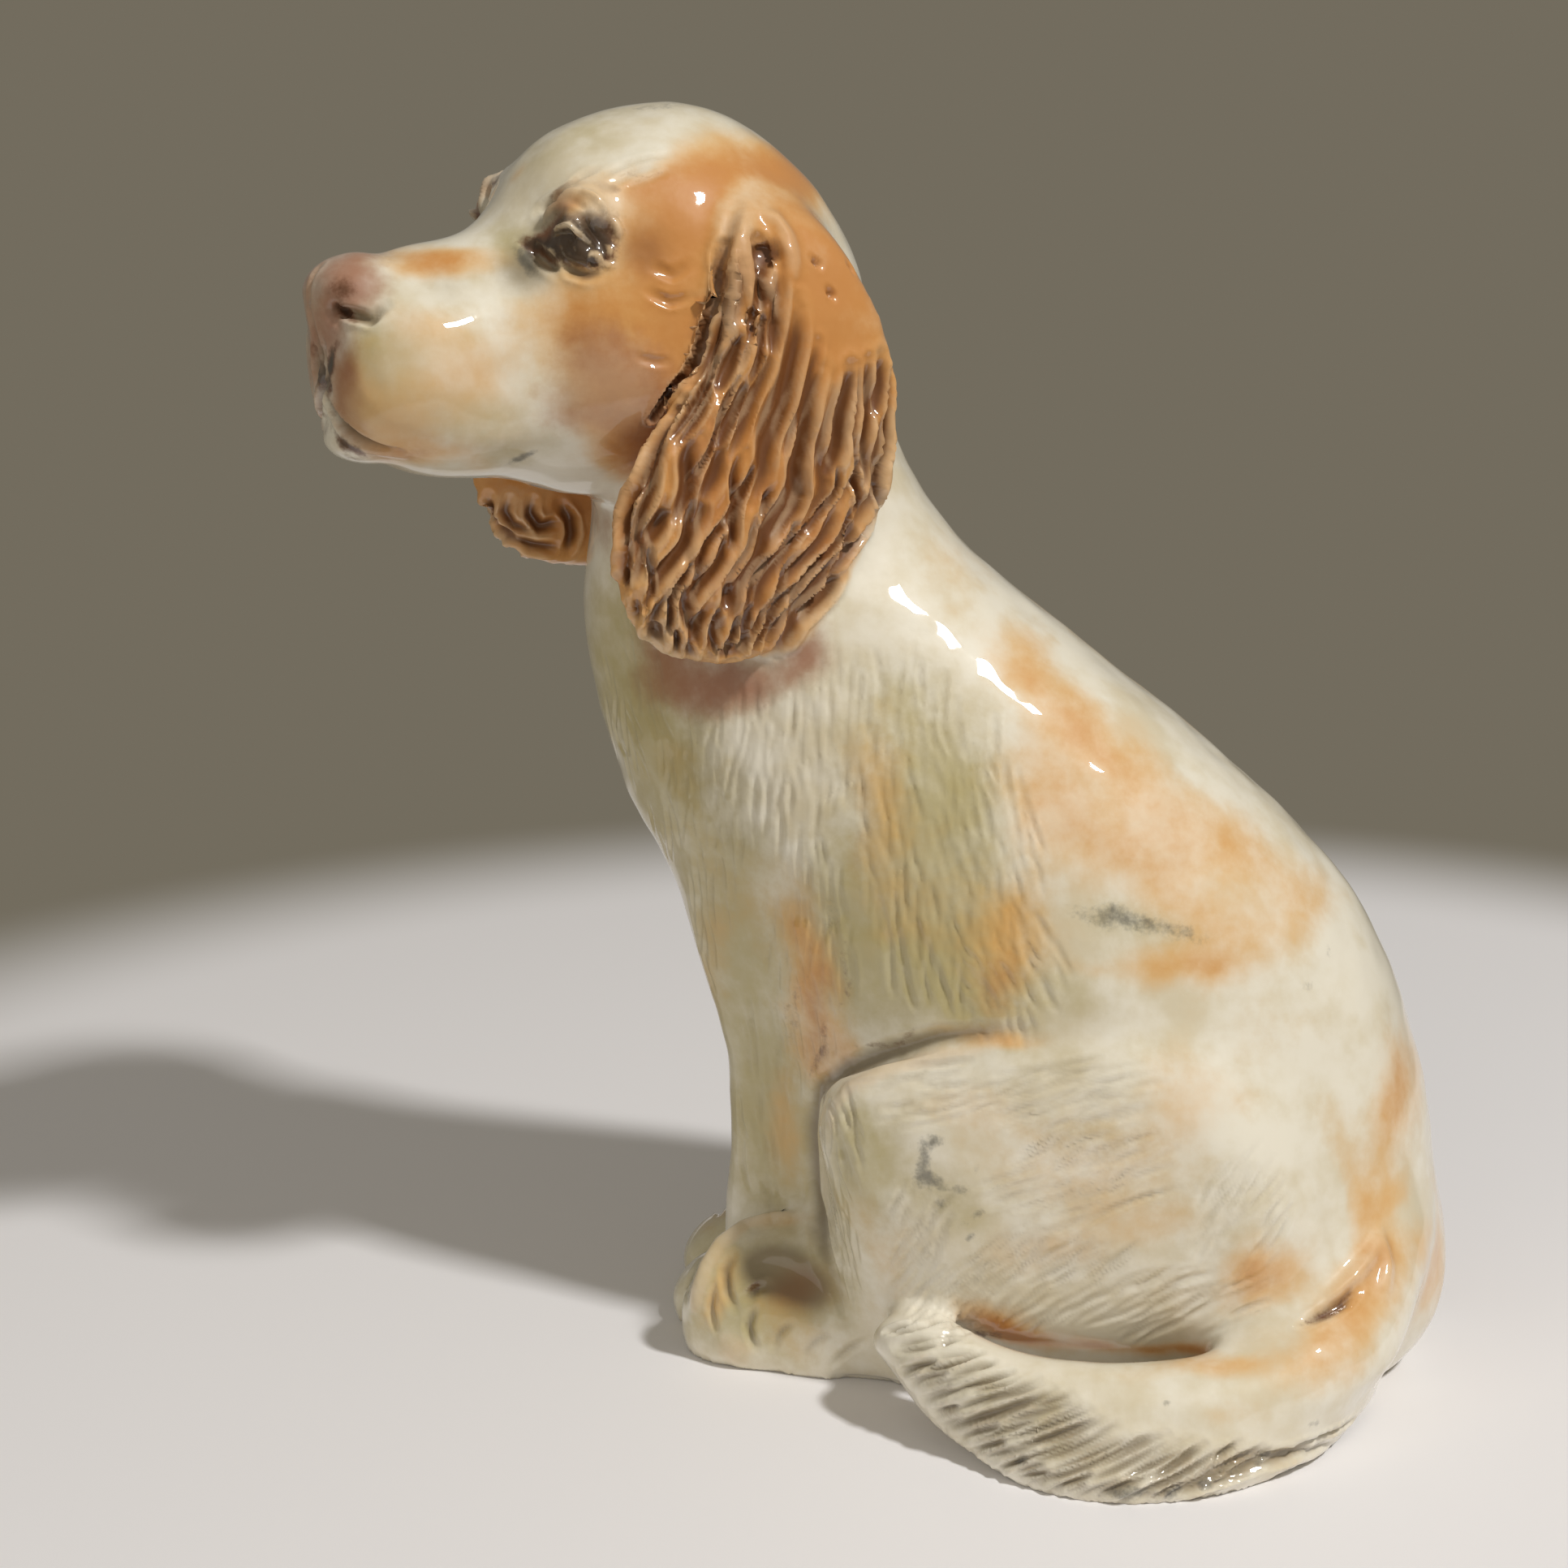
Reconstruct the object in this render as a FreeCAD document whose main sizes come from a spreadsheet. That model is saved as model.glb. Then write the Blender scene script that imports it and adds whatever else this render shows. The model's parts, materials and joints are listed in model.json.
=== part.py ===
# A seated spaniel figure, hand modelled in clay and glazed, as a parametric document.
#
# The figure looks along -Y and sits on the XY plane, with +X on the dog's own left side.
# It is put together the way a potter builds it. The trunk is a hollow form with its neck,
# a slab closes the trunk from below, and every other piece of clay is shaped on its own
# and luted on. Each piece is cut to the pieces it is pressed against, so that neighbours
# meet face to face.
import FreeCAD, Part

import math
import os

Vector = FreeCAD.Vector

# The driving sizes, in millimetres and degrees, with what each one measures.
SIZES = (
    ("back_height", 132.0, "top of the neck stump above the base"),
    ("torso_length", 75.0, "trunk from belly to rump, near its base"),
    ("torso_width", 60.0, "trunk across its widest place"),
    ("wall", 6.0, "clay left round the hollow of the trunk"),
    ("slab_thickness", 5.0, "clay slab that closes the hollow"),
    ("vent_diameter", 7.0, "air hole in the slab"),
    ("head_length", 72.0, "back of the skull to the nose"),
    ("head_height", 48.0, "throat to crown"),
    ("head_width", 43.0, "across the cheeks"),
    ("head_turn", 38.0, "degrees that the head is turned to its left"),
    ("skull_hollow", 26.0, "diameter of the hollow in the skull"),
    ("neck_passage", 10.0, "air passage between the two hollows"),
    ("left_ear_length", 57.0, "root to tip of the left ear"),
    ("right_ear_length", 51.5, "root to tip of the right ear"),
    ("ear_width", 37.0, "broadest place of an ear"),
    ("ear_thickness", 6.5, "ear, leather and feathering together"),
    ("eye_diameter", 8.0, "eye pellet"),
    ("eyelid_thickness", 2.2, "roll of clay round an eye"),
    ("nose_width", 15.0, "across the nose pad"),
    ("nose_height", 12.4, "nose pad, top to bottom"),
    ("nose_length", 12.6, "nose pad, front to back"),
    ("nostril_diameter", 2.6, "pierced nostril"),
    ("nostril_depth", 3.0, "how deep a nostril is pierced"),
    ("chin_width", 13.0, "across the lower lip"),
    ("chin_height", 6.4, "lower lip, top to bottom"),
    ("chin_length", 11.0, "lower lip, front to back"),
    ("foreleg_thickness", 12.0, "foreleg above its paw"),
    ("foreleg_gap", 0.6, "between the two forelegs"),
    ("forepaw_length", 18.6, "heel to toes of a front paw"),
    ("forepaw_width", 12.6, "across the toes of a front paw"),
    ("forepaw_height", 10.0, "instep of a front paw"),
    ("forepaw_step", 1.5, "how far the right front paw stands ahead"),
    ("haunch_width", 67.0, "across both thighs"),
    ("thigh_length", 65.0, "knee to hip"),
    ("thigh_height", 44.0, "thigh, top to bottom"),
    ("shin_thickness", 16.0, "lower hind leg"),
    ("hind_paw_length", 34.0, "hock to toes"),
    ("hind_paw_width", 13.0, "across a hind paw"),
    ("hind_paw_height", 18.5, "instep of a hind paw"),
    ("tail_diameter", 14.0, "tail at its middle"),
    ("fringe_reach", 12.0, "middle of the tail to the edge of its feathering"),
    ("fringe_thickness", 6.5, "feathering through its thickest place"),
    ("cut_overrun", 20.0, "how far a cutting block runs past what it cuts"),
)

POINTS_PER_RING = 16

# Radians from a ring's main axis to its seam, so that no two forms' seams lie together.
SEAM_ANGLE = 0.2

doc = FreeCAD.newDocument("seated_spaniel")
sheet = doc.addObject("Spreadsheet::Sheet", "Sizes")
for row, (alias, value, meaning) in enumerate(SIZES, start=1):
    sheet.set(f"A{row}", alias)
    sheet.set(f"B{row}", str(value))
    sheet.set(f"C{row}", meaning)
    sheet.setAlias(f"B{row}", alias)
doc.recompute()


def size(alias):
    """One driving size, read from the sheet."""
    return float(sheet.get(alias))


def ring(centre, across, upward, halves, squareness=2.0):
    """A closed smooth outline. halves are its reaches along across, against across, along
    upward and against upward; a squareness of 2 is an ellipse, and more is boxier."""
    right, left, top, bottom = halves
    power = 2.0 / squareness
    points = []
    for step in range(POINTS_PER_RING):
        angle = SEAM_ANGLE + 2 * math.pi * step / POINTS_PER_RING
        c, s = math.cos(angle), math.sin(angle)
        x = math.copysign(abs(c) ** power, c) * (right if c > 0 else left)
        z = math.copysign(abs(s) ** power, s) * (top if s > 0 else bottom)
        points.append(centre + across * x + upward * z)
    return closed_curve(points)


def closed_curve(points):
    """A wire of one smooth closed curve through the points, in two halves so that no face
    of a loft wraps round on itself."""
    curve = Part.BSplineCurve()
    curve.interpolate(Points=points, PeriodicFlag=True)
    first, last = curve.FirstParameter, curve.LastParameter
    middle = (first + last) / 2
    return Part.Wire([curve.toShape(first, middle), curve.toShape(middle, last)])


def loft(sections):
    """A solid through rings, where the first and last may be the point that closes it."""
    shapes = [Part.Vertex(s) if isinstance(s, FreeCAD.Vector) else s for s in sections]
    return Part.makeLoft(shapes, True, False)


def clay(name, shape, placement=None):
    """A hand-shaped form as a document object."""
    made = doc.addObject("Part::Feature", name)
    made.Shape = shape
    if placement is not None:
        made.Placement = placement
    return made


def bind(made, expressions):
    """Ties properties of an object to cells of the sheet."""
    for path, expression in expressions.items():
        made.setExpression(path, expression)
    return made


def cut(name, base, *tools):
    """base with the tools' forms cut away, which makes it a finished piece. Refining would
    merge the freeform faces wrongly, so it stays off."""
    for count, tool in enumerate(tools, start=1):
        made = doc.addObject("Part::Cut", f"{name}_{count}")
        made.Base, made.Tool, made.Refine = base, tool, False
        base = made
    base.Label = name
    return base


def mirrored(name, source):
    """The same form on the other side of the dog's middle plane."""
    made = doc.addObject("Part::Mirroring", name)
    made.Source = source
    made.Normal = Vector(1, 0, 0)
    return made


ALONG, UP, LEFT = Vector(0, 1, 0), Vector(0, 0, 1), Vector(1, 0, 0)


# The trunk is a stack of level rings. Height is a share of back_height, the three places
# along Y are shares of torso_length, and the last is a share of torso_width's half.
TRUNK_RING_SHARES = (
    # height, breast, widest place, back, width
    (0.000, -0.39, 0.17, 0.64, 0.84),
    (0.045, -0.42, 0.17, 0.69, 0.94),
    (0.120, -0.43, 0.17, 0.70, 1.00),
    (0.210, -0.44, 0.15, 0.67, 1.00),
    (0.300, -0.48, 0.10, 0.64, 0.98),
    (0.390, -0.58, 0.05, 0.59, 0.95),
    (0.470, -0.68, -0.05, 0.51, 0.90),
    (0.545, -0.75, -0.16, 0.39, 0.85),
    (0.620, -0.795, -0.28, 0.24, 0.79),
    (0.700, -0.825, -0.38, 0.055, 0.71),
    (0.775, -0.825, -0.48, -0.12, 0.64),
    (0.850, -0.81, -0.53, -0.24, 0.60),
    (0.925, -0.78, -0.55, -0.31, 0.56),
    (0.977, -0.71, -0.55, -0.38, 0.42),
)
NECK_TOP_SHARE = -0.55
HOLLOW_RINGS = 11
HOLLOW_TOP_SHARE = TRUNK_RING_SHARES[HOLLOW_RINGS - 1][0]
TRUNK_SQUARENESS = 2.1


def trunk_rings(inset, rows):
    """The trunk's rings, each drawn in by inset."""
    height, length, half = size("back_height"), size("torso_length"), size("torso_width") / 2
    rings = []
    for up, breast, widest, back, width in rows:
        centre = Vector(0, widest * length, up * height)
        side = width * half - inset
        reaches = (side, side, (back - widest) * length - inset, (widest - breast) * length - inset)
        rings.append(ring(centre, LEFT, ALONG, reaches, TRUNK_SQUARENESS))
    return rings


def trunk_body():
    """The outer form of the trunk and neck, filled."""
    top = Vector(0, NECK_TOP_SHARE * size("torso_length"), size("back_height"))
    return loft(trunk_rings(0, TRUNK_RING_SHARES) + [top])


def trunk_hollow():
    """What the potter scoops out of the trunk from below, up into the neck."""
    return loft(trunk_rings(size("wall"), TRUNK_RING_SHARES[:HOLLOW_RINGS]))


# The head is a row of upright rings from the back of the skull to the muzzle's front.
# Forward is a share of head_length from the neck's axis, the three heights are shares of
# head_height above the throat, and the last is a share of head_width's half.
HEAD_RING_SHARES = (
    # forward, top, bottom, widest place, width, squareness
    (-0.155, 0.63, 0.32, 0.49, 0.40, 2.0),
    (-0.100, 0.77, 0.16, 0.47, 0.66, 2.0),
    (0.000, 0.92, 0.03, 0.44, 0.88, 2.1),
    (0.125, 1.00, 0.00, 0.42, 0.98, 2.1),
    (0.250, 1.00, 0.00, 0.41, 0.98, 2.1),
    (0.347, 0.955, 0.02, 0.39, 0.90, 2.1),
    (0.430, 0.855, 0.05, 0.37, 0.78, 2.2),
    (0.500, 0.73, 0.08, 0.34, 0.66, 2.3),
    (0.583, 0.68, 0.09, 0.32, 0.60, 2.4),
    (0.670, 0.655, 0.12, 0.33, 0.56, 2.4),
    (0.735, 0.625, 0.17, 0.37, 0.49, 2.3),
    (0.775, 0.58, 0.23, 0.41, 0.38, 2.2),
    (0.793, 0.53, 0.30, 0.43, 0.24, 2.1),
)
SKULL_BACK_SHARES = (-0.18, 0.48)
MUZZLE_FRONT_SHARES = (0.80, 0.43)
THROAT_SHARE = 0.852
NECK_AXIS_SHARE = -0.533
SKULL_HOLLOW_SHARES = (0.10, 0, 0.56)


def head_placement():
    """Where the head's own frame sits: over the neck's axis, turned to the dog's left."""
    base = Vector(0, NECK_AXIS_SHARE * size("torso_length"), THROAT_SHARE * size("back_height"))
    return FreeCAD.Placement(base, FreeCAD.Rotation(UP, size("head_turn")))


def in_head(forward_share, side_share, up_share):
    """A point of the head's own frame, from shares of the head's length, half width and height."""
    return Vector(
        side_share * size("head_width") / 2,
        -forward_share * size("head_length"),
        up_share * size("head_height"),
    )


def head_body():
    """The skull and muzzle, filled."""
    half, height = size("head_width") / 2, size("head_height")
    sections = [in_head(SKULL_BACK_SHARES[0], 0, SKULL_BACK_SHARES[1])]
    for forward, top, bottom, widest, width, squareness in HEAD_RING_SHARES:
        reaches = (width * half, width * half, (top - widest) * height, (widest - bottom) * height)
        sections.append(ring(in_head(forward, 0, widest), LEFT, UP, reaches, squareness))
    sections.append(in_head(MUZZLE_FRONT_SHARES[0], 0, MUZZLE_FRONT_SHARES[1]))
    return loft(sections)


# An ear is a stack of level rings under its root. Drop is a share of its length, the two
# edges are shares of ear_width from the ear's line, thickness of ear_thickness, and the
# last is how far out it lies, a share of head_width's half.
EAR_RING_SHARES = (
    # drop, front edge, back edge, thickness, out
    (0.026, 0.10, -0.22, 0.60, 0.78),
    (0.115, 0.15, -0.34, 0.90, 0.90),
    (0.256, 0.19, -0.43, 1.00, 1.00),
    (0.415, 0.30, -0.48, 1.00, 1.04),
    (0.520, 0.42, -0.48, 1.00, 1.04),
    (0.635, 0.51, -0.47, 1.05, 1.02),
    (0.767, 0.53, -0.36, 1.05, 1.00),
    (0.890, 0.46, -0.27, 0.95, 0.97),
    (0.960, 0.34, -0.16, 0.75, 0.95),
)
EAR_ROOT_SHARES = (-0.02, -0.04, 0.72)
EAR_TIP_SHARES = (1.0, 0.09, 0.94)
EAR_LINE_SHARE = 0.14
EAR_HEIGHT_SHARE = 0.81
EAR_SQUARENESS = 2.4


def ear_body(side):
    """One ear in the head's frame. side is 1 on the dog's left and -1 on its right."""
    length = size("left_ear_length") if side > 0 else size("right_ear_length")
    width, thickness = size("ear_width"), size("ear_thickness")

    def place(drop, forward, out):
        hung_from = in_head(EAR_LINE_SHARE, out * side, EAR_HEIGHT_SHARE)
        return hung_from + Vector(0, -forward * width, -drop * length)

    sections = [place(*EAR_ROOT_SHARES)]
    for drop, front, back, thick, out in EAR_RING_SHARES:
        middle = (front + back) / 2
        long_half, thin_half = (front - back) / 2 * width, thick * thickness / 2
        reaches = (thin_half, thin_half, long_half, long_half)
        sections.append(ring(place(drop, middle, out), LEFT, ALONG, reaches, EAR_SQUARENESS))
    sections.append(place(*EAR_TIP_SHARES))
    return loft(sections)


# A foreleg is a stack of level rings. Height is a share of back_height, the middle is a
# share of torso_length, depth and width are shares of foreleg_thickness.
FORELEG_RING_SHARES = (
    # height, middle, half depth, half width
    (0.000, -0.500, 0.50, 0.48),
    (0.060, -0.497, 0.51, 0.49),
    (0.130, -0.490, 0.49, 0.49),
    (0.220, -0.483, 0.49, 0.50),
    (0.288, -0.480, 0.56, 0.54),
    (0.356, -0.480, 0.74, 0.62),
    (0.417, -0.487, 0.92, 0.70),
    (0.500, -0.500, 0.98, 0.72),
)


def foreleg_body(side):
    """One foreleg, from the ground into the chest."""
    height, length, thickness = size("back_height"), size("torso_length"), size("foreleg_thickness")
    rings = []
    for up, middle, deep, wide in FORELEG_RING_SHARES:
        out = side * (wide * thickness + size("foreleg_gap") / 2)
        reaches = (wide * thickness, wide * thickness, deep * thickness, deep * thickness)
        rings.append(ring(Vector(out, middle * length, up * height), LEFT, ALONG, reaches))
    return loft(rings)


# A paw is a row of upright rings from heel to toes. Along is a share of its length, the
# width is a share of its half width and the top a share of its height.
FOREPAW_RING_SHARES = (
    # along, width, top
    (0.05, 0.55, 0.60),
    (0.20, 0.85, 0.92),
    (0.45, 0.95, 1.00),
    (0.70, 1.00, 0.88),
    (0.88, 0.88, 0.66),
    (0.96, 0.62, 0.48),
)
FOREPAW_HEEL_SHARE = -0.42
PAW_SOLE_SHARE = 0.35
PAW_SQUARENESS = 2.5


def paw_body(rows, heel, spread, length, width, height):
    """A paw on the ground that runs forward from the point heel. It goes a little below the
    ground, where it is cut flat, and spread is how far its toes lie further out."""
    sole = PAW_SOLE_SHARE * height

    def place(along, up):
        return heel + Vector(spread * along, -along * length, up)

    sections = [place(0, sole)]
    for along, wide, top in rows:
        half = wide * width / 2
        reaches = (half, half, top * height - sole, wide * 2 * sole)
        sections.append(ring(place(along, sole), LEFT, UP, reaches, PAW_SQUARENESS))
    sections.append(place(1, sole))
    return loft(sections)


def forepaw_body(side):
    """One front paw; the right one stands a step ahead."""
    step = size("forepaw_step") if side < 0 else 0
    out = side * (size("forepaw_width") / 2 + size("foreleg_gap") / 2)
    heel = Vector(out, FOREPAW_HEEL_SHARE * size("torso_length") - step, 0)
    dimensions = (size("forepaw_length"), size("forepaw_width"), size("forepaw_height"))
    return paw_body(FOREPAW_RING_SHARES, heel, 0, *dimensions)


# A thigh is one side outline, repeated at growing distances from the dog's middle plane.
# The outline's points are shares of thigh_length and thigh_height from its middle.
THIGH_OUTLINE_SHARES = (
    (-0.51, 0.11),
    (-0.47, 0.26),
    (-0.31, 0.38),
    (-0.09, 0.47),
    (0.14, 0.49),
    (0.31, 0.38),
    (0.43, 0.18),
    (0.49, -0.07),
    (0.43, -0.32),
    (0.25, -0.47),
    (0.00, -0.50),
    (-0.25, -0.44),
    (-0.45, -0.20),
)
# Out is a share of haunch_width's half, and scale shrinks the outline towards its middle.
THIGH_SLICE_SHARES = ((0.20, 0.80), (0.50, 0.97), (0.72, 1.00), (0.87, 0.91), (0.95, 0.72), (0.99, 0.40))
THIGH_MIDDLE_SHARES = (0.08, 0.227)


def thigh_body():
    """The left thigh, from inside the trunk to its outer side."""
    half = size("haunch_width") / 2
    middle_along, middle_up = THIGH_MIDDLE_SHARES
    middle = Vector(0, middle_along * size("torso_length"), middle_up * size("back_height"))
    sections = []
    for out, scale in THIGH_SLICE_SHARES:
        points = [
            middle
            + LEFT * (out * half)
            + ALONG * (along * scale * size("thigh_length"))
            + UP * (up * scale * size("thigh_height"))
            for along, up in THIGH_OUTLINE_SHARES
        ]
        sections.append(closed_curve(points))
    return loft(sections + [middle + LEFT * half])


# The lower hind leg is a stack of level rings. Height is a share of back_height, the
# middle of torso_length, out of haunch_width's half, and the halves of shin_thickness.
SHIN_RING_SHARES = (
    # height, middle, out, half depth, half width
    (-0.015, -0.207, 0.57, 0.44, 0.45),
    (0.060, -0.207, 0.58, 0.47, 0.49),
    (0.120, -0.227, 0.61, 0.49, 0.50),
    (0.190, -0.240, 0.64, 0.50, 0.50),
    (0.255, -0.255, 0.655, 0.46, 0.46),
    (0.305, -0.250, 0.655, 0.34, 0.35),
)


def shin_body():
    """The left lower hind leg, from the ground up into the knee."""
    height, length = size("back_height"), size("torso_length")
    half, thickness = size("haunch_width") / 2, size("shin_thickness")
    rings = []
    for up, middle, out, deep, wide in SHIN_RING_SHARES:
        reaches = (wide * thickness, wide * thickness, deep * thickness, deep * thickness)
        centre = Vector(out * half, middle * length, up * height)
        rings.append(ring(centre, LEFT, ALONG, reaches))
    return loft(rings)


HIND_PAW_RING_SHARES = (
    # along, width, top
    (0.06, 0.60, 0.55),
    (0.22, 0.95, 0.82),
    (0.45, 1.02, 1.00),
    (0.66, 0.98, 0.98),
    (0.84, 0.96, 0.80),
    (0.94, 0.78, 0.58),
)
HIND_PAW_HEEL_SHARES = (0.60, -0.17)
HIND_PAW_SPREAD_SHARE = -0.30


def hind_paw_body():
    """The left hind paw, which runs forward beside the front paws."""
    out, along = HIND_PAW_HEEL_SHARES
    heel = Vector(out * size("haunch_width") / 2, along * size("torso_length"), 0)
    spread = HIND_PAW_SPREAD_SHARE * size("hind_paw_width")
    dimensions = (size("hind_paw_length"), size("hind_paw_width"), size("hind_paw_height"))
    return paw_body(HIND_PAW_RING_SHARES, heel, spread, *dimensions)


# The tail sweeps from the rump round the left thigh. Out is a share of haunch_width's
# half, along of torso_length, up and half thickness of tail_diameter.
TAIL_PATH_SHARES = (
    # out, along, up, half thickness
    (0.06, 0.52, 1.72, 0.52),
    (0.34, 0.575, 1.45, 0.53),
    (0.66, 0.54, 1.08, 0.53),
    (0.93, 0.46, 0.76, 0.52),
    (1.12, 0.335, 0.55, 0.50),
    (1.21, 0.19, 0.46, 0.48),
    (1.21, 0.05, 0.46, 0.46),
    (1.13, -0.08, 0.57, 0.41),
    (1.00, -0.19, 0.75, 0.34),
)
TAIL_TIP_SHARES = (0.94, -0.265, 0.88)


def tail_path():
    """The middle line of the tail, with the tip as its last point."""
    half, length, diameter = size("haunch_width") / 2, size("torso_length"), size("tail_diameter")
    places = [row[:3] for row in TAIL_PATH_SHARES] + [TAIL_TIP_SHARES]
    return [Vector(out * half, along * length, up * diameter) for out, along, up in places]


def frames_along(path):
    """A point, the level direction out of the bend and the upward one for each inner point."""
    frames = []
    for before, point, after in zip([path[0]] + path, path, path[1:]):
        forward = (after - before).normalize()
        outward = UP.cross(forward).normalize()
        frames.append((point, outward, forward.cross(outward)))
    return frames


def tail_body():
    """The tail as a tapering roll of clay."""
    path = tail_path()
    sections = []
    for (point, outward, upward), row in zip(frames_along(path), TAIL_PATH_SHARES):
        half = row[3] * size("tail_diameter")
        sections.append(ring(point, outward, upward, (half, half, half, half)))
    return loft(sections + [path[-1]])


# The feathering is a thick sheet that hangs from the middle of the tail and leans outward
# to the ground. Reach is a share of fringe_reach, half thickness of fringe_thickness.
FRINGE_RING_SHARES = (
    # place on the tail, lean below level in right angles, reach, half thickness
    (1, 0.95, 0.80, 0.30),
    (2, 0.92, 1.20, 0.42),
    (3, 0.80, 0.90, 0.50),
    (4, 0.50, 0.86, 0.52),
    (5, 0.34, 0.96, 0.52),
    (6, 0.38, 0.86, 0.52),
    (7, 0.62, 0.64, 0.46),
    (8, 0.85, 0.50, 0.36),
)
FRINGE_START_SHARE = 0.5
FRINGE_END_SHARE = 0.5


def fringe_body():
    """The feathering of the tail. It begins and ends inside the tail."""
    path = tail_path()
    frames = frames_along(path)
    sections = [path[0] + (path[1] - path[0]) * FRINGE_START_SHARE]
    for index, lean, reach, thick in FRINGE_RING_SHARES:
        point, outward, _ = frames[index]
        angle = lean * math.pi / 2
        down = outward * math.cos(angle) - UP * math.sin(angle)
        over = outward * math.sin(angle) + UP * math.cos(angle)
        long_half, thin_half = reach * size("fringe_reach") / 2, thick * size("fringe_thickness")
        halves = (long_half, long_half, thin_half, thin_half)
        sections.append(ring(point + down * long_half, down, over, halves))
    return loft(sections + [path[-2] + (path[-1] - path[-2]) * FRINGE_END_SHARE])


# Blocks, bores and pellets are plain primitives, each bound to the sheet.
def ground_block():
    """Everything below the surface that the figure stands on."""
    return bind(doc.addObject("Part::Box", "ground"), {
        "Length": "Sizes.haunch_width * 2 + Sizes.cut_overrun * 2",
        "Width": "Sizes.torso_length * 2 + Sizes.cut_overrun * 2",
        "Height": "Sizes.cut_overrun",
        "Placement.Base.x": "-Sizes.haunch_width - Sizes.cut_overrun",
        "Placement.Base.y": "-Sizes.torso_length - Sizes.cut_overrun",
        "Placement.Base.z": "-Sizes.cut_overrun",
    })


def slab_blank():
    """The slab before it is trimmed to the hollow."""
    return bind(doc.addObject("Part::Box", "slab_blank"), {
        "Length": "Sizes.torso_width",
        "Width": "Sizes.torso_length * 2",
        "Height": "Sizes.slab_thickness",
        "Placement.Base.x": "-Sizes.torso_width / 2",
        "Placement.Base.y": "-Sizes.torso_length",
    })


VENT_PLACE_SHARE = 0.30


def vent_bore():
    """The air hole, pierced through the slab towards the rump."""
    return bind(doc.addObject("Part::Cylinder", "vent"), {
        "Radius": "Sizes.vent_diameter / 2",
        "Height": "Sizes.slab_thickness + Sizes.cut_overrun * 2",
        "Placement.Base.y": f"Sizes.torso_length * {VENT_PLACE_SHARE}",
        "Placement.Base.z": "-Sizes.cut_overrun",
    })


def passage_bore():
    """The air passage up the neck, from the trunk's hollow to the middle of the skull's."""
    return bind(doc.addObject("Part::Cylinder", "passage"), {
        "Radius": "Sizes.neck_passage / 2",
        "Height": (
            f"Sizes.back_height * {THROAT_SHARE - HOLLOW_TOP_SHARE}"
            f" + Sizes.head_height * {SKULL_HOLLOW_SHARES[2]} + Sizes.wall"
        ),
        "Placement.Base.y": f"Sizes.torso_length * {NECK_AXIS_SHARE}",
        "Placement.Base.z": f"Sizes.back_height * {HOLLOW_TOP_SHARE} - Sizes.wall",
    })


def head_pellet(name, widths, shares):
    """An egg-shaped pellet in the head's frame. widths name its sizes across, along and up."""
    made = doc.addObject("Part::Ellipsoid", name)
    across, along, upward = (f"Sizes.{width} / 2" for width in widths)
    bind(made, {"Radius2": across, "Radius3": along, "Radius1": upward})
    made.Angle1, made.Angle2, made.Angle3 = -90, 90, 360
    made.Placement = head_placement().multiply(FreeCAD.Placement(in_head(*shares), FreeCAD.Rotation()))
    return made


EYE_SHARES = (0.405, 0.56, 0.71)
EYE_LOOK_SHARES = (0.85, -0.50, 0.10)
NOSE_BACK_SHARE = 0.40
NOSE_UP_SHARE = 0.53
# The nose is a row of upright rings. Along is a share of nose_length from its middle, width
# of nose_width's half, and top and bottom of nose_height's half.
NOSE_RING_SHARES = (
    # along, width, top, bottom
    (-0.43, 0.50, 0.50, 0.50),
    (-0.28, 0.85, 0.85, 0.85),
    (-0.02, 1.00, 1.00, 1.00),
    (0.20, 0.96, 0.94, 0.90),
    (0.37, 0.78, 0.76, 0.66),
    (0.46, 0.50, 0.50, 0.40),
)
NOSE_SQUARENESS = 2.2
NOSTRIL_SHARES = (0.66, -0.80, 0)
NOSTRIL_AIM_SHARES = (0.35, -0.90, 0.10)
CHIN_SHARES = (0.72, 0, 0.205)


def on_side(shares, side):
    """The same shares on the dog's left, where side is 1, or on its right, where it is -1."""
    first, across, last = shares
    return first, side * across, last


def eye_pellet(name, side):
    """One eye."""
    return head_pellet(name, ("eye_diameter",) * 3, on_side(EYE_SHARES, side))


def eyelid_ring(name, side):
    """A roll of clay laid round one eye, square to where the eye looks."""
    look_out, look_along, look_up = EYE_LOOK_SHARES
    look = Vector(side * look_out, look_along, look_up)
    made = bind(doc.addObject("Part::Torus", name), {
        "Radius1": "Sizes.eye_diameter / 2",
        "Radius2": "Sizes.eyelid_thickness / 2",
    })
    local = FreeCAD.Placement(in_head(*on_side(EYE_SHARES, side)), FreeCAD.Rotation(UP, look))
    made.Placement = head_placement().multiply(local)
    return made


def nose_shares():
    """Where the nose sits, a share of its own length behind the muzzle's front."""
    back = NOSE_BACK_SHARE * size("nose_length") / size("head_length")
    return MUZZLE_FRONT_SHARES[0] - back, 0, NOSE_UP_SHARE


def nose_body():
    """The pad of the nose in the head's frame, from inside the muzzle to its front."""
    middle = in_head(*nose_shares())
    length, half, height = size("nose_length"), size("nose_width") / 2, size("nose_height") / 2
    sections = [middle + ALONG * (length / 2)]
    for along, wide, top, bottom in NOSE_RING_SHARES:
        reaches = (wide * half, wide * half, top * height, bottom * height)
        sections.append(ring(middle - ALONG * (along * length), LEFT, UP, reaches, NOSE_SQUARENESS))
    return loft(sections + [middle - ALONG * (length / 2)])


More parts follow.
